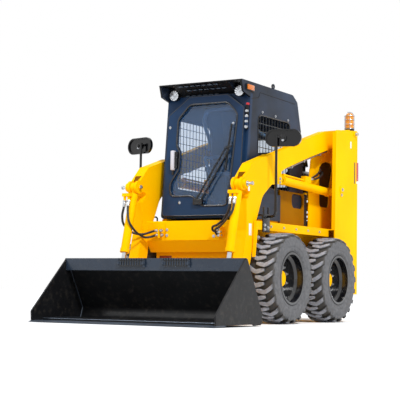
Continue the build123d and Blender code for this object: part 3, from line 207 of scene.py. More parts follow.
plainFinishes = {
    # Bare mild steel of weld beads and rubbed edges.
    "barePlate": {"colour": "#5d6570", "roughness": 0.3, "metallic": 0.8, "depth": 0.3},
    # Hard chromium plate on ground steel rod.
    "chromePlate": {"colour": "#d9dbdd", "roughness": 0.10, "metallic": 1.0, "grain": 25.0, "depth": 0.02},
    # Bright zinc plate on bolts, nuts and hose ferrules.
    "zincPlate": {"colour": "#c9ccd0", "roughness": 0.28, "metallic": 1.0, "grain": 8.333, "depth": 0.1},
    # Aluminised reflector of a lamp.
    "reflector": {"colour": "#e3e6ea", "roughness": 0.22, "metallic": 0.7, "grain": 25.0, "depth": 0.05},
    # Synthetic rubber hose cover with a wrapped-cloth finish.
    "hoseRubber": {"colour": "#1b1c1e", "roughness": 0.48, "grain": 3.333, "depth": 0.5},
    # Moulded pale grey ABS of the door handle's case.
    "greyPlastic": {"colour": "#d2d0d6", "roughness": 0.3, "grain": 6.25},
    # Moulded black polypropylene.
    "mouldedBlack": {"colour": "#0a0a0c", "roughness": 0.26, "grain": 5.556, "depth": 0.25},
    # Gloss black lacquer on the mirror shells.
    "glossBlack": {"colour": "#08080a", "roughness": 0.12, "grain": 16.67, "depth": 0.02},
    # Extruded rubber glazing seal.
    "sealRubber": {"colour": "#2a2c30", "roughness": 0.24, "depth": 0.05},
    # Black vinyl seat cover.
    "seatVinyl": {"colour": "#17181a", "roughness": 0.52, "grain": 3.846, "depth": 0.6},
    # Grey cast iron, sand finish.
    "castIron": {"colour": "#4a4a4c", "roughness": 0.6, "metallic": 0.2, "grain": 11.11, "depth": 0.6},
    # Bare drawn steel pipe, passivated.
    "steelPipe": {"colour": "#a3a19c", "roughness": 0.36, "metallic": 0.8, "grain": 11.11, "depth": 0.1},
    # White and red vinyl film.
    "whiteFilm": {"colour": "#f1efee", "roughness": 0.35, "grain": 33.33, "depth": 0.02},
    "redFilm": {"colour": "#c01822", "roughness": 0.35, "grain": 33.33, "depth": 0.02},
    # Etched brass plate, gone brown.
    "brassPlate": {"colour": "#8a3d1e", "roughness": 0.4, "metallic": 0.3, "grain": 12.5, "depth": 0.1},
}
lenses = {
    # Amber and red acrylic of the marker, warning and tail lamps.
    "amberLens": {"colours": ("#ee7400", "#ff9408"), "transmission": 0.35},
    "beaconLens": {"colours": ("#ff9a0c", "#ffb628"), "transmission": 0.4},
    "redLens": {"colours": ("#b01020", "#e02030"), "transmission": 0.3},
}
finishes = {"laminatedGlass": glassMaterial("laminatedGlass")}
for make, looks in ((paintMaterial, paints), (plainMaterial, plainFinishes), (lensMaterial, lenses)):
    for name, look in looks.items():
        finishes[name] = make(name, **look)
print("finishes made,", len(finishes))


# Pieces
def meshFrom(name, form):
    mesh = bpy.data.meshes.new(name)
    form.to_mesh(mesh)
    form.free()
    return mesh


def finishPiece(name, form, finish, body, smooth=True, turnOut=True):
    # The bmesh becomes a piece, its faces turned outwards, with its finish and body.
    if turnOut:
        bmesh.ops.recalc_face_normals(form, faces=form.faces)
    mesh = meshFrom(name, form)
    piece = bpy.data.objects.new(name, mesh)
    scene.collection.objects.link(piece)
    mesh.materials.append(finishes[finish])
    if smooth:
        mesh.shade_smooth()
        mesh.set_sharp_from_angle(angle=math.radians(38))
    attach(piece, body)
    return piece


def addRod(form, start, end, radius, sides=16, endRadius=None, cut=0.0):
    # A round bar between two points, its end edges broken by `cut`.
    start, end = Vector(start), Vector(end)
    turn = (end - start).to_track_quat("Z", "Y").to_matrix().to_4x4()
    place = Matrix.Translation((start + end) / 2) @ turn
    made = bmesh.ops.create_cone(form, cap_ends=True, segments=sides, radius1=radius,
                                 radius2=radius if endRadius is None else endRadius,
                                 depth=(end - start).length, matrix=place)
    if cut:
        rims = {edge for vertex in made["verts"] for edge in vertex.link_edges if len(edge.link_faces) == 2
                and sorted(len(face.verts) == 4 for face in edge.link_faces) == [False, True]}
        bmesh.ops.bevel(form, geom=list(rims), offset=cut, segments=2, profile=0.5, affect="EDGES",
                        material=-1)


def addBlock(form, low, high, cut=0.0, turn=None):
    # A block between two corners, its edges rounded by `cut`, turned about its middle.
    low, high = Vector(low), Vector(high)
    size = Matrix.Diagonal((*(high - low), 1.0))
    place = Matrix.Translation((low + high) / 2) @ (turn or Matrix.Identity(4)) @ size
    made = bmesh.ops.create_cube(form, size=1.0, matrix=place)
    if cut:
        edges = {edge for vertex in made["verts"] for edge in vertex.link_edges}
        bmesh.ops.bevel(form, geom=list(edges), offset=cut, segments=2, profile=0.5, affect="EDGES",
                        material=-1)


def addBolt(form, place, axis, radius, height, washer=True):
    # A hexagon head on a washer, standing on a surface.
    place, axis = Vector(place), Vector(axis).normalized()
    if washer:
        addRod(form, place - axis * 0.001, place + axis * 0.002, radius * 1.35, 20, cut=0.0006)
    addRod(form, place, place + axis * height, radius, 6, cut=radius * 0.12)


def addTube(form, points, radius):
    # A tube along a smooth line past the points.
    curve = bpy.data.curves.new("tube", "CURVE")
    curve.dimensions = "3D"
    curve.bevel_depth = radius
    curve.bevel_resolution = 4
    curve.use_fill_caps = True
    line = curve.splines.new("NURBS")
    line.points.add(len(points) - 1)
    for point, place in zip(line.points, points):
        point.co = (*place, 1.0)
    line.order_u = 3
    line.use_endpoint_u = True
    line.resolution_u = 8
    holder = bpy.data.objects.new("tube", curve)
    scene.collection.objects.link(holder)
    bpy.context.view_layer.update()
    mesh = bpy.data.meshes.new_from_object(holder)
    bpy.data.objects.remove(holder)
    bpy.data.curves.remove(curve)
    form.from_mesh(mesh)
    bpy.data.meshes.remove(mesh)


# Camera
viewpoint = {"place": (5.338, -9.286, 0.288), "turn": 30.82, "pitch": 4.21, "roll": 0.84,
             "focalLength": 108.594, "sensor": 36.0}


def placeCamera():
    turn, pitch, roll = [math.radians(viewpoint[key]) for key in ("turn", "pitch", "roll")]
    ahead = Vector((-math.sin(turn) * math.cos(pitch), math.cos(turn) * math.cos(pitch), math.sin(pitch)))
    level = Vector((math.cos(turn), math.sin(turn), 0.0))
    upright = level.cross(ahead)
    right = level * math.cos(roll) + upright * math.sin(roll)
    up = upright * math.cos(roll) - level * math.sin(roll)
    lens = bpy.data.cameras.new("camera")
    lens.sensor_width = viewpoint["sensor"]
    lens.lens = viewpoint["focalLength"]
    lens.clip_end = 200.0
    camera = bpy.data.objects.new("camera", lens)
    scene.collection.objects.link(camera)
    turned = Matrix((right, up, -ahead)).transposed().to_4x4()
    camera.matrix_world = Matrix.Translation(viewpoint["place"]) @ turned
    scene.camera = camera


placeCamera()

# Tyres: 10-16.5, two rows of bent lugs that meet in a chevron. Pattern sizes are in millimetres.
tyre = {
    "radius": 0.3865, "grooveRadius": 0.3625, "wheelX": 0.649, "axleY": (-0.069, 0.879), "lugs": 21,
    "halfThick": 0.0185, "flare": 0.004, "lugCut": 0.0028, "turns": 126, "gritSize": 26.32,
    "skinSize": 3.846, "noseShare": 0.55, "noseGrowth": 3.2, "spread": 0.16, "spreadFrom": 0.06,
    "floorCrown": 0.9, "sharpEdge": 0.9,
    "section": [(0.098, 0.2125), (0.105, 0.2275), (0.116, 0.232), (0.119, 0.240), (0.1235, 0.243),
                (0.1275, 0.262), (0.1262, 0.268), (0.1298, 0.274), (0.1305, 0.300), (0.1288, 0.322),
                (0.1258, 0.332), (0.1262, 0.338), (0.121, 0.350), (0.108, 0.3575), (0.060, 0.3615),
                (0.0, 0.3625)],
    "lugLine": [(-0.040, 1.2), (0.000, 0.1), (0.036, -1.0), (0.062, 0.6), (0.090, 3.4), (0.112, 6.0),
                (0.1255, 7.8)],
    "crown": [(0.0, 0.0), (0.06, 0.0012), (0.09, 0.0035), (0.112, 0.008), (0.1265, 0.020)],
    "rubber": [(0.3, "#48484a"), (0.7, "#68686a")], "dust": [(0.25, "#70727a"), (0.7, "#a2a4ac")],
    "mud": "#3a3733", "dustDepth": (0.012, 0.005), "mudHeight": (0.003, 0.016), "treadEdge": (0.012, 0.004),
}


def tyreMaterial(name, centreY):
    # Vulcanised black rubber: dry dust on the tops of the lugs, mud-brown grooves, a grey sidewall.
    material, tree, shader, place = newMaterial(name, {"Roughness": 0.72, "IOR": 1.5})
    shifted = addNode(tree, "ShaderNodeMapping", {
        "Location": (0.0, -centreY, -tyre["radius"]), "Vector": place})
    flat = addNode(tree, "ShaderNodeVectorMath", {
        "operation": "MULTIPLY", 0: shifted.outputs[0], 1: (0.0, 1.0, 1.0)})
    radius = addNode(tree, "ShaderNodeVectorMath", {
        "operation": "LENGTH", 0: flat.outputs[0]}).outputs["Value"]
    grit = addNode(tree, "ShaderNodeTexNoise", {
        "Vector": place, "Scale": 1000 / tyre["gritSize"], "Detail": 6.0, "Roughness": 0.65}).outputs["Fac"]
    wobble = addNode(tree, "ShaderNodeMath", {"operation": "MULTIPLY_ADD", 0: grit, 1: 0.006, 2: -0.003})
    worn = addNode(tree, "ShaderNodeMath", {"operation": "ADD", 0: radius, 1: wobble.outputs[0]}).outputs[0]
    top = addNode(tree, "ShaderNodeMapRange", {
        "From Min": tyre["radius"] - tyre["dustDepth"][0], "From Max": tyre["radius"] - tyre["dustDepth"][1],
        "Value": worn})
    groove = addNode(tree, "ShaderNodeMapRange", {
        "From Min": tyre["grooveRadius"] + tyre["mudHeight"][0],
        "From Max": tyre["grooveRadius"] + tyre["mudHeight"][1],
        "To Min": 1.0, "To Max": 0.0, "Value": worn})
    inTread = addNode(tree, "ShaderNodeMapRange", {
        "From Min": tyre["grooveRadius"] - tyre["treadEdge"][0],
        "From Max": tyre["grooveRadius"] - tyre["treadEdge"][1], "Value": radius})
    mud = addNode(tree, "ShaderNodeMath", {
        "operation": "MULTIPLY", 0: groove.outputs[0], 1: inTread.outputs[0]})
    rubber = addNode(tree, "ShaderNodeValToRGB", {0: grit, "stops": tyre["rubber"]})
    dirty = addNode(tree, "ShaderNodeMix", {
        "data_type": "RGBA", 0: mud.outputs[0], 6: rubber.outputs[0], 7: linearColour(tyre["mud"])})
    dust = addNode(tree, "ShaderNodeValToRGB", {0: grit, "stops": tyre["dust"]})
    colour = addNode(tree, "ShaderNodeMix", {
        "data_type": "RGBA", 0: top.outputs[0], 6: dirty.outputs[2], 7: dust.outputs[0]})
    skin = addNode(tree, "ShaderNodeTexNoise", {
        "Vector": place, "Scale": 1000 / tyre["skinSize"], "Detail": 4.0}).outputs["Fac"]
    bump = addNode(tree, "ShaderNodeBump", {"Strength": 0.35, "Distance": 0.0012, "Height": skin})
    connect(tree, shader, colour.outputs[2], normal=bump.outputs[0])
    return material


def lookUp(rows, place):
    for (x0, y0), (x1, y1) in zip(rows, rows[1:]):
        if place <= x1:
            return y0 + (y1 - y0) * (place - x0) / (x1 - x0)
    return rows[-1][1]


def buildLugRow(row):
    # One lug bent along its line, its wall flared down to the groove, then turned round the axle.
    form = bmesh.new()
    top = bmesh.ops.create_grid(form, x_segments=12, y_segments=3, size=0.5)["verts"]
    stationCount = len(tyre["lugLine"]) - 1
    for vertex in top:
        along = (vertex.co.x + 0.5) * stationCount
        step = min(int(along), stationCount - 1)
        (u0, a0), (u1, a1) = tyre["lugLine"][step:step + 2]
        across = u0 + (u1 - u0) * (along - step)
        angle = math.radians(a0 + (a1 - a0) * (along - step) + (180 / tyre["lugs"] if row < 0 else 0))
        nose = min(1.0, tyre["noseShare"] + along / stationCount * tyre["noseGrowth"])
        outer = max(0.0, (across - tyre["spreadFrom"]) / tyre["spreadFrom"])
        pinch = nose * (1.0 + tyre["spread"] * outer)
        angle += vertex.co.y * 2 * tyre["halfThick"] * pinch / tyre["radius"]
        radius = tyre["radius"] - lookUp(tyre["crown"], abs(across))
        vertex.co = (row * across, -radius * math.cos(angle), radius * math.sin(angle))
    made = bmesh.ops.extrude_face_region(form, geom=form.faces[:])["geom"]
    low = [item for item in made if isinstance(item, bmesh.types.BMVert)]
    middle = sum((vertex.co for vertex in low), Vector()) / len(low)
    for vertex in low:
        crown = lookUp(tyre["crown"], abs(vertex.co.x)) * tyre["floorCrown"]
        floor = tyre["grooveRadius"] - tyre["flare"] - crown
        around = Vector((0.0, vertex.co.z, -vertex.co.y)).normalized()
        radial = Vector((0.0, vertex.co.y, vertex.co.z)).normalized()
        outward = 1 if (vertex.co - middle).dot(around) > 0 else -1
        vertex.co = Vector((vertex.co.x, 0.0, 0.0)) + radial * floor + around * outward * tyre["flare"]
    rims = [edge for edge in form.edges if edge.calc_face_angle(0.0) > tyre["sharpEdge"]]
    bmesh.ops.bevel(form, geom=rims, offset=tyre["lugCut"], segments=2, profile=0.5, affect="EDGES",
                    material=-1)
    step = math.tau / tyre["lugs"]
    bmesh.ops.spin(form, geom=form.verts[:] + form.edges[:] + form.faces[:], axis=(1, 0, 0), cent=(0, 0, 0),
                   angle=step * (tyre["lugs"] - 1), steps=tyre["lugs"] - 1, use_merge=False,
                   use_duplicate=True)
    bmesh.ops.recalc_face_normals(form, faces=form.faces)
    return meshFrom("lugs", form)


def buildTyre(side, centreY):
    form = bmesh.new()
    corners = tyre["section"] + [(-x, r) for x, r in tyre["section"][-2::-1]]
    points = [form.verts.new((x, 0.0, r)) for x, r in corners]
    edges = [form.edges.new(pair) for pair in zip(points, points[1:])]
    bmesh.ops.spin(form, geom=points + edges, axis=(1, 0, 0), cent=(0, 0, 0), angle=math.tau,
                   steps=tyre["turns"], use_merge=True, use_duplicate=False)
    bmesh.ops.recalc_face_normals(form, faces=form.faces)
    for row in (1, -1):
        lugs = buildLugRow(row)
        form.from_mesh(lugs)
        bpy.data.meshes.remove(lugs)
    bmesh.ops.translate(form, vec=(side * tyre["wheelX"], centreY, tyre["radius"]), verts=form.verts)
    return form


wheels = [("front_left", 1, 0), ("front_right", -1, 0), ("rear_left", 1, 1), ("rear_right", -1, 1)]
treadRubber = ("treadRubberFront", "treadRubberRear")
for name, axleY in zip(treadRubber, tyre["axleY"]):
    finishes[name] = tyreMaterial(name, axleY)
for wheelName, side, axle in wheels:
    tread = buildTyre(side, tyre["axleY"][axle])
    piece = finishPiece("tyre_" + wheelName + "_tread", tread, treadRubber[axle], "wheel_" + wheelName,
                        turnOut=False)
    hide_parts("tyre_" + wheelName)
print("tyres made")

# Places of the pieces below are in millimetres, Y counted from the middle of the wheelbase, and so are a
# ridge's radius and a slab's cut; the radii, heights and cuts of rods and bolts are in metres
axleMiddle = 405.0
sides = (("left", 1), ("right", -1))


def at(x, y, z):
    return Vector((x / 1000, (y + axleMiddle) / 1000, z / 1000))


def ridge(form, points, radius, closed=False):
    # A round moulding along straight runs, with a ball at every corner.
    places = [at(*point) for point in points]
    if closed:
        places.append(places[0])
    for start, end in zip(places, places[1:]):
        addRod(form, start, end, radius / 1000, 8)
    for place in places:
        bmesh.ops.create_icosphere(form, subdivisions=1, radius=radius / 1000,
                                   matrix=Matrix.Translation(place))


def slab(form, low, high, cut=0.0):
    addBlock(form, at(*low), at(*high), cut / 1000)


def flankSlab(form, side, near, far, low, high, cut=0.0):
    # A block on one flank, from x `near` to `far`, between two corners as (y, z).
    start, end = sorted((side * near, side * far))
    slab(form, (start, *low), (end, *high), cut)


def flankBolts(form, side, rows):
    for x, y, z, facing, radius, height in rows:
        addBolt(form, at(side * x, y, z), (side * facing, 0, 0), radius, height)


def flankRods(form, side, rows):
    for near, far, y, z, radius, corners, cut in rows:
        addRod(form, at(side * near, y, z), at(side * far, y, z), radius, corners, cut=cut)


paintedNodes = set()


def paintNode(name, main, other, isOther):
    # A piece of the frame in two finishes, the second on the faces that the test picks.
    mesh = nodes[name].data
    mesh.materials.clear()
    mesh.materials.append(finishes[main])
    mesh.materials.append(finishes[other])
    for face in mesh.polygons:
        face.material_index = 1 if isOther(face) else 0
    paintedNodes.add(name)


# Wheel nuts on their studs, and the yellow noses of the hubs
wheelNuts = {"circle": 101.5, "faceX": 650.0, "radius": 0.015, "height": 0.014, "stud": 0.008,
             "studFrom": 10.0, "studEnd": 24.0, "count": 8, "axleZ": 386.5, "axleY": 474.0,
             "noseRadius": 0.071, "noseX": 0.6505}
for name, side, axle in wheels:
    axleY = wheelNuts["axleY"] * (2 * axle - 1)
    nutForm = bmesh.new()
    for count in range(wheelNuts["count"]):
        angle = math.tau * (count + 0.5) / wheelNuts["count"]
        y = axleY + wheelNuts["circle"] * math.cos(angle)
        z = wheelNuts["axleZ"] + wheelNuts["circle"] * math.sin(angle)
        addBolt(nutForm, at(side * wheelNuts["faceX"], y, z), (side, 0, 0), wheelNuts["radius"],
                wheelNuts["height"])
        studs = [side * (wheelNuts["faceX"] + wheelNuts[end]) for end in ("studFrom", "studEnd")]
        addRod(nutForm, at(studs[0], y, z), at(studs[1], y, z), wheelNuts["stud"], 12, cut=0.0012)
    finishPiece("wheel_nuts_" + name, nutForm, "zincPlate", "wheel_" + name)
    hub = at(0, axleY, wheelNuts["axleZ"])
    paintNode("rim_" + name, "wheelEnamel", "enamelYellow",
              lambda face: math.hypot(face.center.y - hub.y, face.center.z - hub.z) < wheelNuts["noseRadius"]
              and abs(face.center.x) > wheelNuts["noseX"])
print("wheel nuts made")

# Beacon: black base and a bent rod cage round the amber dome
beacon = {"x": 600.0, "y": 1072.0, "cageRadius": 50.0, "rod": 2.6, "ribs": 6, "foot": 1852, "shoulder": 1990,
          "neckRadius": 24, "neck": 2024, "top": 2028, "hoops": (1862, 1905, 1950, 1988), "hoopSteps": 24,
          "baseRadius": 0.0475, "baseLow": 1836, "baseTop": 1868}


def aroundBeacon(radius, share, z):
    angle = math.tau * share
    return (beacon["x"] + radius * math.cos(angle), beacon["y"] + radius * math.sin(angle), z)


cageForm = bmesh.new()
for count in range(beacon["ribs"]):
    share = count / beacon["ribs"]
    ridge(cageForm, [aroundBeacon(beacon["cageRadius"], share, beacon["foot"]),
                     aroundBeacon(beacon["cageRadius"], share, beacon["shoulder"]),
                     aroundBeacon(beacon["neckRadius"], share, beacon["neck"]),
                     (beacon["x"], beacon["y"], beacon["top"])], beacon["rod"])
for height in beacon["hoops"]:
    steps = beacon["hoopSteps"]
    hoop = [aroundBeacon(beacon["cageRadius"], count / steps, height) for count in range(steps)]
    ridge(cageForm, hoop, beacon["rod"], closed=True)
finishPiece("beacon_cage", cageForm, "zincPlate", "chassis")
baseForm = bmesh.new()
baseLow, baseTop = [at(beacon["x"], beacon["y"], beacon[end]) for end in ("baseLow", "baseTop")]
addRod(baseForm, baseLow, baseTop, beacon["baseRadius"], 40, cut=0.003)
finishPiece("beacon_base", baseForm, "mouldedBlack", "chassis")

# Headlights: black rims on a bracket with two bolts, faceted reflectors
headlight = {"x": 332.0, "y": -665.0, "z": 1999.0, "facets": 12, "facetLift": 2.4, "glassY": -3,
             "rings": ((16, -2.0), (30, -1.6), (44.5, -0.6)), "rimY": 5, "rimBack": 0.0465,
             "rimFront": 0.0485, "rimDepth": 0.014, "bracketLow": (-34, -652, 2044),
             "bracketHigh": (34, -642, 2066),
             "boltX": 22, "boltY": -645, "boltZ": 2062, "bolt": (0.007, 0.006, False)}
shellForm = bmesh.new()
reflectorForm = bmesh.new()
for x in (-headlight["x"], headlight["x"]):
    turned = Matrix.Rotation(math.radians(90), 4, "X")
    bmesh.ops.create_cone(
        shellForm, cap_ends=False, segments=40, radius1=headlight["rimBack"], radius2=headlight["rimFront"],
        depth=headlight["rimDepth"],
        matrix=Matrix.Translation(at(x, headlight["y"] + headlight["rimY"], headlight["z"])) @ turned)
    for boltX in (x - headlight["boltX"], x + headlight["boltX"]):
        place = at(boltX, headlight["boltY"], headlight["boltZ"])
        addBolt(shellForm, place, (0, -1, 0), *headlight["bolt"])
    low, high = headlight["bracketLow"], headlight["bracketHigh"]
    slab(shellForm, (x + low[0], *low[1:]), (x + high[0], *high[1:]), 2)
    middle = reflectorForm.verts.new(at(x, headlight["y"] + headlight["glassY"], headlight["z"]))
    size = 2 * headlight["facets"]
    rings = []
    for radius, depth in headlight["rings"]:
        ring = []
        for count in range(size):
            angle = math.tau * count / size
            lift = headlight["facetLift"] if count % 2 else 0.0
            ring.append(reflectorForm.verts.new(at(
                x + radius * math.cos(angle), headlight["y"] + depth - lift,
                headlight["z"] + radius * math.sin(angle))))
        rings.append(ring)
    for count in range(size):
        after = (count + 1) % size
        reflectorForm.faces.new((middle, rings[0][count], rings[0][after]))
        for inner, outer in zip(rings, rings[1:]):
            reflectorForm.faces.new((inner[count], outer[count], outer[after], inner[after]))
finishPiece("headlight_shells", shellForm, "mouldedBlack", "chassis")
finishPiece("headlight_reflectors", reflectorForm, "reflector", "chassis", False)

# Visor: louvres in three rows on the sloping panel, given as (share of the slope, first x, count)
louvres = {"rows": ((0.10, -205, 7), (0.46, -150, 7), (0.94, -200, 6)), "pitch": 59, "size": (40, 22, 4),
           "lean": -8, "startY": -771, "depth": 147, "startZ": 2061, "drop": 76}
louvreForm = bmesh.new()
for share, start, count in louvres["rows"]:
    for column in range(count):
        middle = at(start + column * louvres["pitch"], louvres["startY"] + share * louvres["depth"],
                    louvres["startZ"] - share * louvres["drop"])
        half = Vector(louvres["size"]) / 2000
        addBlock(louvreForm, middle - half, middle + half, 0.001,
                 Matrix.Rotation(math.radians(louvres["lean"]), 4, "X"))
# The louvres' lighter paint is a painted highlight on the near-black visor.
finishPiece("visor_louvres", louvreForm, "louvrePaint", "chassis")

# Marker lamps: amber lenses in black bezels
marker = {"bezelX": (418.2, 430), "bezel": ((-708, 1996), (-567, 2050)), "lensX": (428, 441),
          "lens": ((-700, 2001), (-588, 2045))}
bezelForm = bmesh.new()
lensForm = bmesh.new()
for side in (1, -1):
    flankSlab(bezelForm, side, *marker["bezelX"], *marker["bezel"], 3)
    flankSlab(lensForm, side, *marker["lensX"], *marker["lens"], 4)
finishPiece("marker_bezels", bezelForm, "mouldedBlack", "chassis")
markerLens = finishPiece("marker_lenses", lensForm, "amberLens", "chassis")
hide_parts("marker_lights")
print("lamps made")

# Cab door: the raked face, the door's outline and its window, corners as (x, z, rounding)
cabFace = {"y": -620.0, "z": 1940.0, "rake": 0.0925, "doorProud": 37.5, "windowSeal": 8.0, "edgeSeal": 4.0}
doorEdge = [(-382, 921, 30), (-382, 1815, 20), (-172, 1977, 20), (213, 1977, 20), (382, 1852, 20),
            (382, 921, 30)]
doorWindow = [(-316, 1134, 25), (-316, 1215, 20), (-240, 1330, 30), (-240, 1490, 30), (-276, 1549, 20),
              (-276, 1784, 30), (-166, 1908, 30), (221, 1908, 30), (323, 1802, 40), (287, 1205, 60),
              (262, 1003, 30), (16, 1003, 40), (-78, 1094, 40), (-288, 1094, 20)]


def faceY(z):
    return cabFace["y"] - (cabFace["z"] - z) * cabFace["rake"]


def roundedLoop(rows):
    # The outline with each corner eased by a short curve.
    loop = []
    for count, (x, z, cut) in enumerate(rows):
        here = Vector((x, z))
        before = Vector(rows[count - 1][:2])
        after = Vector(rows[(count + 1) % len(rows)][:2])
        start = here + (before - here).normalized() * min(cut, 0.45 * (before - here).length)
        end = here + (after - here).normalized() * min(cut, 0.45 * (after - here).length)
        for share in (0.0, 0.33, 0.67, 1.0):
            point = start * (1 - share) ** 2 + here * 2 * share * (1 - share) + end * share ** 2
            loop.append((point.x, point.y))
    return loop


def onDoor(x, z, proud):
    return (x, faceY(z) - cabFace["doorProud"] - proud, z)


def doorSlab(form, level, low, high, cut):
    # A block on the door, its Y counted from the door's face at one level.
    face = faceY(level) - cabFace["doorProud"]
    slab(form, (low[0], face + low[1], low[2]), (high[0], face + high[1], high[2]), cut)


sealForm = bmesh.new()
ridge(sealForm, [onDoor(x, z, 1.0) for x, z in roundedLoop(doorWindow)], cabFace["windowSeal"], closed=True)
finishPiece("door_window_seal", sealForm, "sealRubber", "cab_door_body")
edgeForm = bmesh.new()
ridge(edgeForm, [onDoor(x, z, -2.0) for x, z in roundedLoop(doorEdge)], cabFace["edgeSeal"], closed=True)
finishPiece("door_edge_seal", edgeForm, "sealRubber", "cab_door_body")

# Door handle: a pale grey case with a black grip beside it
handle = {"level": 1410, "case": ((-312, -38, 1326), (-276, 8, 1500), 8),
          "grip": [((-274, -30, 1340), (-248, 8, 1490), 6), ((-304, -24, 1286), (-284, 8, 1326), 4)]}
caseForm = bmesh.new()
doorSlab(caseForm, handle["level"], *handle["case"])
finishPiece("door_handle_case", caseForm, "greyPlastic", "cab_door_body")
gripForm = bmesh.new()
for block in handle["grip"]:
    doorSlab(gripForm, handle["level"], *block)
finishPiece("door_handle_grip", gripForm, "mouldedBlack", "cab_door_body")

# Wiper: motor box, two parallel arms, a blade on its carrier. Each run is points, clearance and radius.
wiper = {
    "level": 1044, "motor": ((-60, -30, 1012), (34, 2, 1066), 8),
    "runs": [([(-34, 1046), (243, 1509)], 26.0, 8.5), ([(10, 1036), (268, 1480)], 26.0, 8.5),
             ([(277, 1704), (268, 1600), (252, 1440), (242, 1309)], 14.0, 9.0),
             ([(240, 1500), (290, 1516)], 20.0, 9.0), ([(262, 1560), (250, 1440)], 16.0, 8.0)],
}
wiperForm = bmesh.new()
doorSlab(wiperForm, wiper["level"], *wiper["motor"])
for points, clearance, radius in wiper["runs"]:
    ridge(wiperForm, [onDoor(x, z, clearance) for x, z in points], radius)
finishPiece("wiper", wiperForm, "mouldedBlack", "cab_door_body")

# Bolts of the door, the cab and the hinge, and the hinge's straps with their red cap
hinge = {
    "doorBolts": ((-209, 1036), (283, 1716), (-356, 1712)), "boltX": 405, "boltProud": 27,
    "boltLevels": (1682, 1728, 1774, 1820, 1016, 1090, 1160),
    "straps": ((392, 1770, 1660, 1872), (390, 1080, 1000, 1180)), "strapEnd": 414,
    "strapProud": 26, "cap": ((394, 416), (-30, -4), (1872, 1892)), "capLevel": 1876,
    "sideBolts": ((-400, 1840), (-150, 1836), (100, 1832)), "sideX": 419, "roofBolts": (-360, 360),
    "roofY": -500, "roofZ": 2081, "smallBolt": (0.009, 0.008), "largeBolt": (0.011, 0.009),
    "roofBolt": (0.010, 0.008),
}
doorBoltForm = bmesh.new()
for x, z in hinge["doorBolts"]:
    addBolt(doorBoltForm, at(*onDoor(x, z, 0)), (0, -1, 0), *hinge["smallBolt"])
finishPiece("door_bolts", doorBoltForm, "zincPlate", "cab_door_body")
hingeForm = bmesh.new()
for x, level, low, high in hinge["straps"]:
    face = faceY(level)
    slab(hingeForm, (x, face - hinge["strapProud"], low), (hinge["strapEnd"], face + 2, high), 3)
finishPiece("hinge_straps", hingeForm, "cabInnerPaint", "chassis")
hingeBoltForm = bmesh.new()
for z in hinge["boltLevels"]:
    place = at(hinge["boltX"], faceY(z) - hinge["boltProud"], z)
    addBolt(hingeBoltForm, place, (0.2, -1, 0), *hinge["largeBolt"])
for y, z in hinge["sideBolts"]:
    addBolt(hingeBoltForm, at(hinge["sideX"], y, z), (1, 0, 0), *hinge["smallBolt"])
for x in hinge["roofBolts"]:
    addBolt(hingeBoltForm, at(x, hinge["roofY"], hinge["roofZ"]), (0, 0, 1), *hinge["roofBolt"])
finishPiece("cab_bolts", hingeBoltForm, "zincPlate", "chassis")
capForm = bmesh.new()
capX, capY, capZ = hinge["cap"]
capFace = faceY(hinge["capLevel"])
slab(capForm, (capX[0], capFace + capY[0], capZ[0]), (capX[1], capFace + capY[1], capZ[1]), 4)
finishPiece("hinge_cap", capForm, "redFilm", "chassis")

# Side panels: a pressed crease in near-black painted shade, a rubber seal round each side window, a dark
# sheet as painted shade in the gap to the engine bay
sidePanel = {"creaseX": 417, "crease": [(-596, 1936), (-470, 1960), (-443, 2009), (236, 2002)],
             "creaseRadius": 3.2, "windowX": 418, "sealRadius": 6.0,
             "window": [(-477, 1180, 50), (-477, 1811, 60), (140, 1811, 60), (140, 1180, 50)],
             "gapShade": (424, 432, (400, 866), (480, 1178))}
for name, side in sides:
    creaseForm = bmesh.new()
    ridge(creaseForm, [(side * sidePanel["creaseX"], y, z) for y, z in sidePanel["crease"]],
          sidePanel["creaseRadius"])
    # The crease ridge takes the near-black painted shade.
    finishPiece("side_crease_" + name, creaseForm, "cabInnerPaint", "chassis")
    windowForm = bmesh.new()
    ridge(windowForm, [(side * sidePanel["windowX"], y, z) for y, z in roundedLoop(sidePanel["window"])],
          sidePanel["sealRadius"], closed=True)
    finishPiece("side_window_seal_" + name, windowForm, "mouldedBlack", "chassis")
    # The dark sheet in the hose rubber finish is painted shade in the gap to the engine bay.
    gapShadeForm = bmesh.new()
    flankSlab(gapShadeForm, side, *sidePanel["gapShade"])
    finishPiece("bay_gap_shade_" + name, gapShadeForm, "hoseRubber", "chassis")

# Inside: lever bellows, knobs and buttons, footplate ribs
controls = {"x": 290, "foot": (-62, 1090), "folds": 5, "foldStep": (-3, 16), "foldRadii": (0.040, 0.032),
            "foldShrink": 0.005, "knobX": (264, 316), "knob": ((-140, 1372), (-100, 1414)),
            "button": (-120, 1412, 1424), "ribs": 9, "ribPitch": 19,
            "ribLow": (-225, -552, 957), "ribHigh": (225, -544, 964)}
insideForm = bmesh.new()
buttonForm = bmesh.new()
for side in (1, -1):
    stepY, stepZ = controls["foldStep"]
    for fold in range(controls["folds"]):
        footY, footZ = controls["foot"]
        base = at(side * controls["x"], footY + fold * stepY, footZ + fold * stepZ)
        wide, narrow = [radius - fold * controls["foldShrink"] for radius in controls["foldRadii"]]
        addRod(insideForm, base, base + Vector((0, stepY, stepZ)) / 1000, wide, 20, narrow)
    flankSlab(insideForm, side, *controls["knobX"], *controls["knob"], 10)
    y, low, high = controls["button"]
    low, high = [at(side * controls["x"], y, z) for z in (low, high)]
    addRod(buttonForm, low, high, 0.010, 16, cut=0.002)
for row in range(controls["ribs"]):
    corners = (controls["ribLow"], controls["ribHigh"])
    slab(insideForm, *[(x, y + row * controls["ribPitch"], z) for x, y, z in corners], 1)
finishPiece("cab_fittings", insideForm, "mouldedBlack", "chassis")
finishPiece("lever_buttons", buttonForm, "redFilm", "chassis")

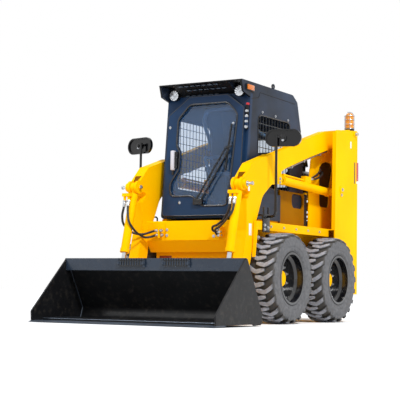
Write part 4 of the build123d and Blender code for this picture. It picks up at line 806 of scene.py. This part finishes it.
# Mirrors: clamp and its bolt on the back of the shell, the bracket's posts, plate and bolts
mirror = {"hub": (728, -600, 1575), "facing": (0.2588, -0.9659), "hubParts": ((0.0, 0.020, 0.030, 24, 0.003),
          (0.020, 0.034, 0.016, 20, 0.002)), "clampBoltDrop": 0.020, "postX": 604, "postY": (-706, -624),
          "postZ": (880, 985), "plate": (604, 612, (-728, 772), (-606, 924), 2),
          "bolts": [(612, -700, 831, 1, 0.011, 0.010), (612, -700, 794, 1, 0.011, 0.010),
                    (612, -640, 812, 1, 0.011, 0.010), (600.5, -790, 722, 1, 0.013, 0.012)]}
mirrorForm = bmesh.new()
mirrorBoltForm = bmesh.new()
for side in (1, -1):
    facingX, facingY = mirror["facing"]
    normal = Vector((side * facingX, facingY, 0))
    x, y, z = mirror["hub"]
    middle = at(side * x, y, z)
    for start, end, radius, corners, cut in mirror["hubParts"]:
        addRod(mirrorForm, middle + normal * start, middle + normal * end, radius, corners, cut=cut)
    clampBolt = middle + normal * mirror["clampBoltDrop"] - Vector((0, 0, mirror["clampBoltDrop"]))
    addBolt(mirrorBoltForm, clampBolt, normal, 0.008, 0.012)
    for y in mirror["postY"]:
        low, high = [at(side * mirror["postX"], y, z) for z in mirror["postZ"]]
        addRod(mirrorForm, low, high, 0.008, 16, cut=0.002)
    flankSlab(mirrorForm, side, *mirror["plate"])
    flankBolts(mirrorBoltForm, side, mirror["bolts"])
finishPiece("mirror_clamps", mirrorForm, "mouldedBlack", "chassis")
finishPiece("mirror_bolts", mirrorBoltForm, "zincPlate", "chassis")
print("cab made")

# Seat: two vinyl cushions swollen from slightly small blocks, with piping round their edges, on a shell
seat = {"voxel": 0.007, "pressure": 4.0, "frames": 20, "cap": 0.022, "cut": 0.018, "pipingInset": 0.02,
        "pipingRadius": 0.005, "cushion": ((-205, -118, 1034), (205, 300, 1104), 0.0),
        "backrest": ((-200, 226, 1130), (200, 296, 1580), -4.0),
        "shell": [((-212, -110, 1011), (212, 312, 1038)), ((-190, 300, 1040), (190, 322, 1560))]}


def swell(name, form):
    # The block remeshed finely and swollen as a cloth under pressure, no point by more than the cap.
    pad = bpy.data.objects.new(name, meshFrom(name, form))
    scene.collection.objects.link(pad)
    remesh = pad.modifiers.new("grain", "REMESH")
    remesh.mode = "VOXEL"
    remesh.voxel_size = seat["voxel"]
    bpy.context.view_layer.update()
    pad.data = bpy.data.meshes.new_from_object(pad.evaluated_get(bpy.context.evaluated_depsgraph_get()))
    pad.modifiers.clear()
    before = [vertex.co.copy() for vertex in pad.data.vertices]
    cloth = pad.modifiers.new("cover", "CLOTH")
    cloth.settings.use_pressure = True
    cloth.settings.uniform_pressure_force = seat["pressure"]
    cloth.settings.effector_weights.gravity = 0.0
    cloth.point_cache.frame_end = seat["frames"]
    for frameNumber in range(1, seat["frames"] + 1):
        scene.frame_set(frameNumber)
    swollen = bpy.data.meshes.new_from_object(pad.evaluated_get(bpy.context.evaluated_depsgraph_get()))
    scene.frame_set(1)
    bpy.data.objects.remove(pad)
    for vertex, start in zip(swollen.vertices, before):
        move = vertex.co - start
        if move.length > seat["cap"]:
            vertex.co = start + move.normalized() * seat["cap"]
    return swollen


def buildCushion(name, low, high, lean):
    low, high = at(*low), at(*high)
    middle, half = (low + high) / 2, (high - low) / 2
    turn = Matrix.Rotation(math.radians(lean), 4, "X")
    block = bmesh.new()
    addBlock(block, low, high, seat["cut"], turn)
    bmesh.ops.recalc_face_normals(block, faces=block.faces)
    form = bmesh.new()
    form.from_mesh(swell(name, block))
    piece = finishPiece(name, form, "seatVinyl", "chassis")
    corners = []
    for x, y in ((-1, -1), (1, -1), (1, 1), (-1, 1)):
        offset = Vector((x * (half.x - seat["pipingInset"]), y * half.y, half.z * 0.55))
        if lean:
            offset.y = -half.y * 0.9
            offset.z = y * (half.z - seat["pipingInset"])
        corners.append(middle + turn @ offset)
    pipingForm = bmesh.new()
    for start, end in zip(corners, corners[1:] + corners[:1]):
        addRod(pipingForm, start, end, seat["pipingRadius"], 8)
    finishPiece(name + "_piping", pipingForm, "seatVinyl", "chassis")


buildCushion("seat_cushion", *seat["cushion"])
buildCushion("seat_backrest", *seat["backrest"])
shellForm = bmesh.new()
for low, high in seat["shell"]:
    slab(shellForm, low, high, 8)
seatShell = finishPiece("seat_shell", shellForm, "mouldedBlack", "chassis")
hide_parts("seat")

# Grab tube under the cab roof, its arms running back to the side walls
grabTube = {"radius": 0.017, "line": [
    (404, 96, 1600), (300, -120, 1655), (262, -400, 1775), (240, -470, 1862), (200, -486, 1880),
    (-60, -486, 1880), (-110, -480, 1862), (-158, -430, 1760), (-262, -120, 1640), (-404, 96, 1600)]}
tubeForm = bmesh.new()
addTube(tubeForm, [at(*point) for point in grabTube["line"]], grabTube["radius"])
finishPiece("grab_tube", tubeForm, "slatePaint", "chassis")
print("seat made")

# Arms: pins and bolts, an ochre sheet of painted shade in the pocket over each tilt pin, blank films. Rods
# are (from x, to x, y, z, radius, corners, cut), bolts (x, y, z, facing, radius, height), films (from x, to
# x, low, high, cut).
armTrim = {
    "pins": [(594, 640, -987, 1161, 0.0125, 20, 0.0015), (638, 652, -987, 1161, 0.017, 6, 0.002),
             (596, 602, -987, 1161, 0.022, 24, 0.0015)],
    "bolts": [(454, -987, 1161, -1, 0.014, 0.012), (551, -301, 1259, 1, 0.011, 0.009),
              (551, -306, 1226, 1, 0.009, 0.008), (566, -1050, 232, 1, 0.016, 0.012)],
    "pocket": [(484, -931, 1263), (550, -931, 1263), (536, -974, 1220), (498, -974, 1220)],
    "pocketProud": 1.2,
    "films": [(565.1, 565.9, (-892, 738), (-846, 836), 0.3),
              (565.1, 565.9, (-914, 1106), (-886, 1146), 0.3)],
}
for name, side in sides:
    pinForm = bmesh.new()
    flankRods(pinForm, side, armTrim["pins"])
    flankBolts(pinForm, side, armTrim["bolts"])
    finishPiece("arm_bolts_" + name, pinForm, "zincPlate", "boom")
    # A flat ochre sheet, just proud of the arm, is painted shade in the pocket over the tilt pin.
    pocketForm = bmesh.new()
    proud = armTrim["pocketProud"]
    corners = [at(side * x, y - proud, z + proud) for x, y, z in armTrim["pocket"]]
    pocketForm.faces.new([pocketForm.verts.new(corner) for corner in corners])
    finishPiece("arm_pocket_shade_" + name, pocketForm, "shadedOchre", "boom", False)
    filmForm = bmesh.new()
    for film in armTrim["films"]:
        flankSlab(filmForm, side, *film)
    finishPiece("arm_film_" + name, filmForm, "whiteFilm", "boom")

# Fittings at the ends of the tilt hoses, each along its hose, and on the bulkhead of the cross beam
fittings = {
    "hoseEnds": [((485, -1067.8, 1038), (486, -1080, 975)), ((525, -1067.8, 1038), (529, -1089, 975)),
                 ((-566, -1067.8, 1038), (-568, -1078, 975)), ((-525, -1067.8, 1038), (-519, -1089, 975)),
                 ((300, -908, 768), (262, -908, 768)), ((300, -898, 740), (268, -898, 740)),
                 ((-314, -905, 786), (-352, -905, 786)), ((-314, -893, 748), (-352, -893, 748))],
    "ferruleRadius": 0.0135, "nutRadius": 0.017, "nutFrom": -0.004, "nutEnd": 0.012, "reach": 0.054,
    "bulkhead": ((-306, -905, 786), (-306, -893, 748), (308, -908, 768), (308, -898, 740)),
    "elbow": 30, "elbowParts": ((-0.2, 1.0, 0.011, 16), (0.3, 0.8, 0.016, 6)),
    "bolts": ((-256, 793), (-256, 745), (256, 793), (256, 745), (214, 734)), "boltY": -866.5,
    "bolt": (0.010, 0.008),
}
ferruleForm = bmesh.new()
for start, end in fittings["hoseEnds"]:
    start, end = at(*start), at(*end)
    along = (end - start).normalized()
    reach = min((end - start).length, fittings["reach"])
    nutFrom, nutEnd = start + along * fittings["nutFrom"], start + along * fittings["nutEnd"]
    addRod(ferruleForm, nutEnd, start + along * reach, fittings["ferruleRadius"], 20, cut=0.0015)
    addRod(ferruleForm, nutFrom, nutEnd, fittings["nutRadius"], 6, cut=0.0015)
for x, y, z in fittings["bulkhead"]:
    inwards = fittings["elbow"] if x < 0 else -fittings["elbow"]
    for start, end, radius, corners in fittings["elbowParts"]:
        addRod(ferruleForm, at(x + inwards * start, y, z), at(x + inwards * end, y, z), radius, corners,
               cut=0.0015)
for x, z in fittings["bolts"]:
    addBolt(ferruleForm, at(x, fittings["boltY"], z), (0, -1, 0), *fittings["bolt"])
finishPiece("hose_fittings", ferruleForm, "zincPlate", "boom")

# Hoses of the lift cylinders: from the rear port block up into the tower's opening
liftHoses = {
    "radius": 0.010,
    "upper": [(507, 350, 1318), (506, 420, 1324), (500, 560, 1372), (482, 670, 1424), (452, 726, 1440),
              (435, 742, 1442)],
    "lower": [(529, 350, 1312), (527, 430, 1314), (520, 580, 1350), (500, 680, 1388), (462, 742, 1414),
              (441, 750, 1417)],
    "nut": ((0, -0.004, 0), (0, 0.016, 0.001), 0.016, 6),
    "ferrule": ((0, 0.014, 0.001), (0, 0.056, 0.004), 0.0135, 20),
}
for name, side in sides:
    fittingForm = bmesh.new()
    body = "lift_barrel_" + name + "_body"
    for line in ("upper", "lower"):
        places = [at(side * x, y, z) for x, y, z in liftHoses[line]]
        hoseForm = bmesh.new()
        addTube(hoseForm, places, liftHoses["radius"])
        finishPiece("lift_hose_" + line + "_" + name, hoseForm, "hoseRubber", body)
        for start, end, radius, corners in (liftHoses["nut"], liftHoses["ferrule"]):
            start, end = places[0] + Vector(start), places[0] + Vector(end)
            addRod(fittingForm, start, end, radius, corners, cut=0.0015)
    finishPiece("lift_fittings_" + name, fittingForm, "zincPlate", body)

# Towers: pin bosses, bolts, tail lamps with their slots, a blank film, and a black hoop on the frame
# beside the cab's foot. Rows are as for the arms.
tower = {
    "bosses": [(664, 673, 742, 1241, 0.036, 32, 0.002), (664, 672, 1046, 1801, 0.026, 32, 0.002)],
    "bossPlate": (664, 670, (722, 1172), (756, 1222), 4),
    "bolts": [(673, 752, 1241, 1, 0.013, 0.011), (670, 740, 1190, 1, 0.011, 0.010)],
    "stud": [(672, 700, 1060, 1803, 0.013, 16, 0.0015), (672, 682, 1060, 1803, 0.019, 6, 0.0015)],
    "fenderBolts": [(600.5, y, 826, 1, 0.009, 0.008) for y in (-560, -320, -80, 160, 400)],
    "lamp": (643, 667, (1096, 1352), (1144, 1534), 5),
    "whiteLamp": (643, 667, (1096, 1324), (1144, 1350), 5),
    "film": (665.1, 665.9, (946, 1656), (974, 1722), 0.3),
    "slot": (664.9, 665.9, (1044, 1322), (1066, 1530), 0.3),
    "hoopY": -640, "hoopRadius": 7.0,
    "hoop": [(560, 864), (560, 910), (548, 922), (514, 922), (503, 910), (503, 864)],
}
for name, side in sides:
    bossForm = bmesh.new()
    flankRods(bossForm, side, tower["bosses"])
    flankSlab(bossForm, side, *tower["bossPlate"])
    finishPiece("tower_bosses_" + name, bossForm, "enamelYellow", "chassis")
    boltForm = bmesh.new()
    flankBolts(boltForm, side, tower["bolts"] + tower["fenderBolts"])
    flankRods(boltForm, side, tower["stud"])
    finishPiece("tower_bolts_" + name, boltForm, "zincPlate", "chassis")
    lampForm = bmesh.new()
    flankSlab(lampForm, side, *tower["lamp"])
    finishPiece("tail_lamp_" + name, lampForm, "redLens", "chassis")
    filmForm = bmesh.new()
    flankSlab(filmForm, side, *tower["whiteLamp"])
    flankSlab(filmForm, side, *tower["film"])
    finishPiece("tower_film_" + name, filmForm, "whiteFilm", "chassis")
    slotForm = bmesh.new()
    flankSlab(slotForm, side, *tower["slot"])
    ridge(slotForm, [(side * x, tower["hoopY"], z) for x, z in tower["hoop"]], tower["hoopRadius"])
    finishPiece("tower_slot_" + name, slotForm, "mouldedBlack", "chassis")

# Air cleaner and pre-cleaner behind the cab, over the engine bay; each part is its ends, radii and cut
airCleaner = {
    "parts": [((300, 480, 1330), (300, 800, 1330), 0.095, 40, 0.095, 0.01),
              ((300, 470, 1330), (300, 484, 1330), 0.104, 40, 0.104, 0.004),
              ((300, 640, 1400), (300, 640, 1470), 0.036, 24, 0.036, 0.004),
              ((300, 640, 1460), (300, 640, 1530), 0.062, 32, 0.050, 0.006)],
    "feet": [((220, 560, 1196), (380, 600, 1250)), ((220, 700, 1196), (380, 740, 1250))],
}
cleanerForm = bmesh.new()
for start, end, radius, corners, endRadius, cut in airCleaner["parts"]:
    addRod(cleanerForm, at(*start), at(*end), radius, corners, endRadius, cut)
for low, high in airCleaner["feet"]:
    slab(cleanerForm, low, high, 4)
finishPiece("air_cleaner", cleanerForm, "mouldedBlack", "chassis")

# Blank brass plate low on the front of the frame
framePlate = {"low": (-407, -743, 544), "high": (-282, -740, 574), "cut": 1}
plateForm = bmesh.new()
slab(plateForm, framePlate["low"], framePlate["high"], framePlate["cut"])
finishPiece("frame_plate", plateForm, "brassPlate", "chassis")

# Bucket: toothed treads with black painted shade in their recesses and bolts on the steps, weld beads, a
# glossy lip tinted as a painted sky reflection
bucket = {
    "steps": ((-324, -53), (108, 374)), "toothPitch": 24, "toothHalf": 0.32, "rootHalf": 0.18,
    "tooth": ((-1524, 514), (-1511, 530)), "root": ((-1520, 470), (-1511, 504)), "boltInset": 14,
    "boltY": -1516, "boltZ": 488, "recessInset": 26, "recess": ((-1516, 462), (-1511, 512)), "weldX": 853,
    "weld": [(-1497, 432), (-1434, 428), (-1256, 116), (-1284, 31), (-1790, 31)], "edgeX": 861,
    "edge": [(-1886, 88), (-1498, 500)], "beads": [(855, -1433, 431), (866, -1800, 30)],
    "lipZ": 0.428, "lipY": -1484, "lipX": 0.85, "bolt": (0.013, 0.010), "weldRadius": 5.0, "beadRadius": 4.0,
}
teethForm = bmesh.new()
recessForm = bmesh.new()
for start, end in bucket["steps"]:
    count = int((end - start) // bucket["toothPitch"])
    pitch = (end - start) / count
    for tooth in range(count):
        x = start + (tooth + 0.5) * pitch
        for share, part, cut in ((bucket["toothHalf"], "tooth", 2), (bucket["rootHalf"], "root", 1)):
            low, high = bucket[part]
            slab(teethForm, (x - pitch * share, *low), (x + pitch * share, *high), cut)
    for x in (start + bucket["boltInset"], end - bucket["boltInset"]):
        addBolt(teethForm, at(x, bucket["boltY"], bucket["boltZ"]), (0, -1, 0), *bucket["bolt"])
    low, high = bucket["recess"]
    slab(recessForm, (start + bucket["recessInset"], *low), (end - bucket["recessInset"], *high), 1)
finishPiece("step_teeth", teethForm, "lipPaint", "bucket_body")
# Black slabs in the step recesses are painted shade.
finishPiece("step_recess_shade", recessForm, "mouldedBlack", "bucket_body")
weldForm = bmesh.new()
for side in (1, -1):
    ridge(weldForm, [(side * bucket["weldX"], y, z) for y, z in bucket["weld"]], bucket["weldRadius"])
    ridge(weldForm, [(side * bucket["edgeX"], y, z) for y, z in bucket["edge"]], bucket["weldRadius"])
for x, y, z in bucket["beads"]:
    ridge(weldForm, [(-x, y, z), (x, y, z)], bucket["beadRadius"])
finishPiece("bucket_welds", weldForm, "barePlate", "bucket_body")
# The lip band takes the black tinted navy as a painted sky reflection.
paintNode("bucket", "bucketPaint", "lipPaint",
          lambda face: face.center.z > bucket["lipZ"] and face.center.y < at(0, bucket["lipY"], 0).y
          and abs(face.center.x) < bucket["lipX"])
print("arms, towers and bucket made")

# Painted shade: the visor's faces turned down or forward are near black, the roof above it slate
paintNode("cab_roof", "cabSidePaint", "cabInnerPaint",
          lambda face: face.normal.z < -0.2 or face.normal.y < -0.3)

# Finishes of the other pieces of the frame, by the start of their names; the first row that fits holds
frameFinishes = [
    # The cab's front and door take the paint with the painted sky reflection.
    ("tyre", "hoseRubber"), ("cab_door", "cabFrontPaint"), ("cab_front", "cabFrontPaint"),
    # The cab floor takes the near-black painted shade.
    ("cab_floor", "cabInnerPaint"), ("cab", "cabSidePaint"), ("side_screens", "mouldedBlack"),
    # The bucket's steps take the navy painted sky reflection.
    ("door_glass", "laminatedGlass"), ("rear_glass", "laminatedGlass"), ("bucket_steps", "lipPaint"),
    # The cutting edge's lighter blued steel is partly a painted highlight.
    ("cutting_edge", "wornSteel"), ("rear_bumper", "cabSidePaint"), ("engine_door_hinge", "cabSidePaint"),
    ("engine_door", "enamelYellow"), ("engine", "castIron"), ("lift_rod", "chromePlate"),
    ("tilt_rod", "chromePlate"), ("boom_hoses", "hoseRubber"), ("boom_pipes", "steelPipe"),
    ("tower_guards", "hoseRubber"), ("seat", "seatVinyl"), ("safety_bar", "slatePaint"),
    ("levers", "mouldedBlack"), ("mirrors", "glossBlack"), ("headlights", "mouldedBlack"),
    # The side covers take the ochre painted shade.
    ("beacon", "beaconLens"), ("marker_lights", "amberLens"), ("side_covers", "ochreSheet"),
    ("", "enamelYellow"),
]
for name, node in nodes.items():
    if name not in paintedNodes:
        finish = next(finishes[key] for start, key in frameFinishes if name.startswith(start))
        node.data.materials.clear()
        node.data.materials.append(finish)

# Floor, backdrop and light: a sun from the machine's front left and a weaker one from its front right
studio = {"floor": "#f6f6f6", "floorSize": 60.0, "skyForLight": "#eef2f8", "skyForEye": "#ffffff",
          "skyLight": 0.8, "sunWidth": 9.0, "suns": (("key", 52.0, 46.0, 2.7), ("fill", -35.0, 40.0, 0.5))}


def buildStudio():
    floorForm = bmesh.new()
    bmesh.ops.create_grid(floorForm, x_segments=1, y_segments=1, size=studio["floorSize"])
    floorMesh = meshFrom("floor", floorForm)
    floor = bpy.data.objects.new("floor", floorMesh)
    scene.collection.objects.link(floor)
    floorMesh.materials.append(newMaterial("paleFloor", {
        "Base Color": linearColour(studio["floor"]), "Roughness": 0.9, "Specular IOR Level": 0.0})[0])
    world = bpy.data.worlds.new("studio")
    world.use_nodes = True
    tree = world.node_tree
    tree.nodes.clear()
    rays = addNode(tree, "ShaderNodeLightPath", {})
    direct = addNode(tree, "ShaderNodeMath", {
        "operation": "MAXIMUM", 0: rays.outputs["Is Camera Ray"], 1: rays.outputs["Is Transmission Ray"]})
    seen = addNode(tree, "ShaderNodeMath", {
        "operation": "MAXIMUM", 0: direct.outputs[0], 1: rays.outputs["Is Glossy Ray"]})
    lit = addNode(tree, "ShaderNodeBackground", {
        "Color": linearColour(studio["skyForLight"]), "Strength": studio["skyLight"]})
    shown = addNode(tree, "ShaderNodeBackground", {
        "Color": linearColour(studio["skyForEye"]), "Strength": 1.0})
    mixed = addNode(tree, "ShaderNodeMixShader", {
        0: seen.outputs[0], 1: lit.outputs[0], 2: shown.outputs[0]})
    addNode(tree, "ShaderNodeOutputWorld", {0: mixed.outputs[0]})
    scene.world = world
    for name, turn, height, power in studio["suns"]:
        sun = bpy.data.lights.new(name, "SUN")
        sun.energy = power
        sun.angle = math.radians(studio["sunWidth"])
        holder = bpy.data.objects.new(name, sun)
        scene.collection.objects.link(holder)
        turn, height = math.radians(turn), math.radians(height)
        level = Vector((math.sin(turn), -math.cos(turn), 0.0)) * math.cos(height)
        back = level + Vector((0.0, 0.0, math.sin(height)))
        holder.matrix_world = back.to_track_quat("Z", "Y").to_matrix().to_4x4()


buildStudio()
scene.view_settings.view_transform = "Standard"

print("finished")
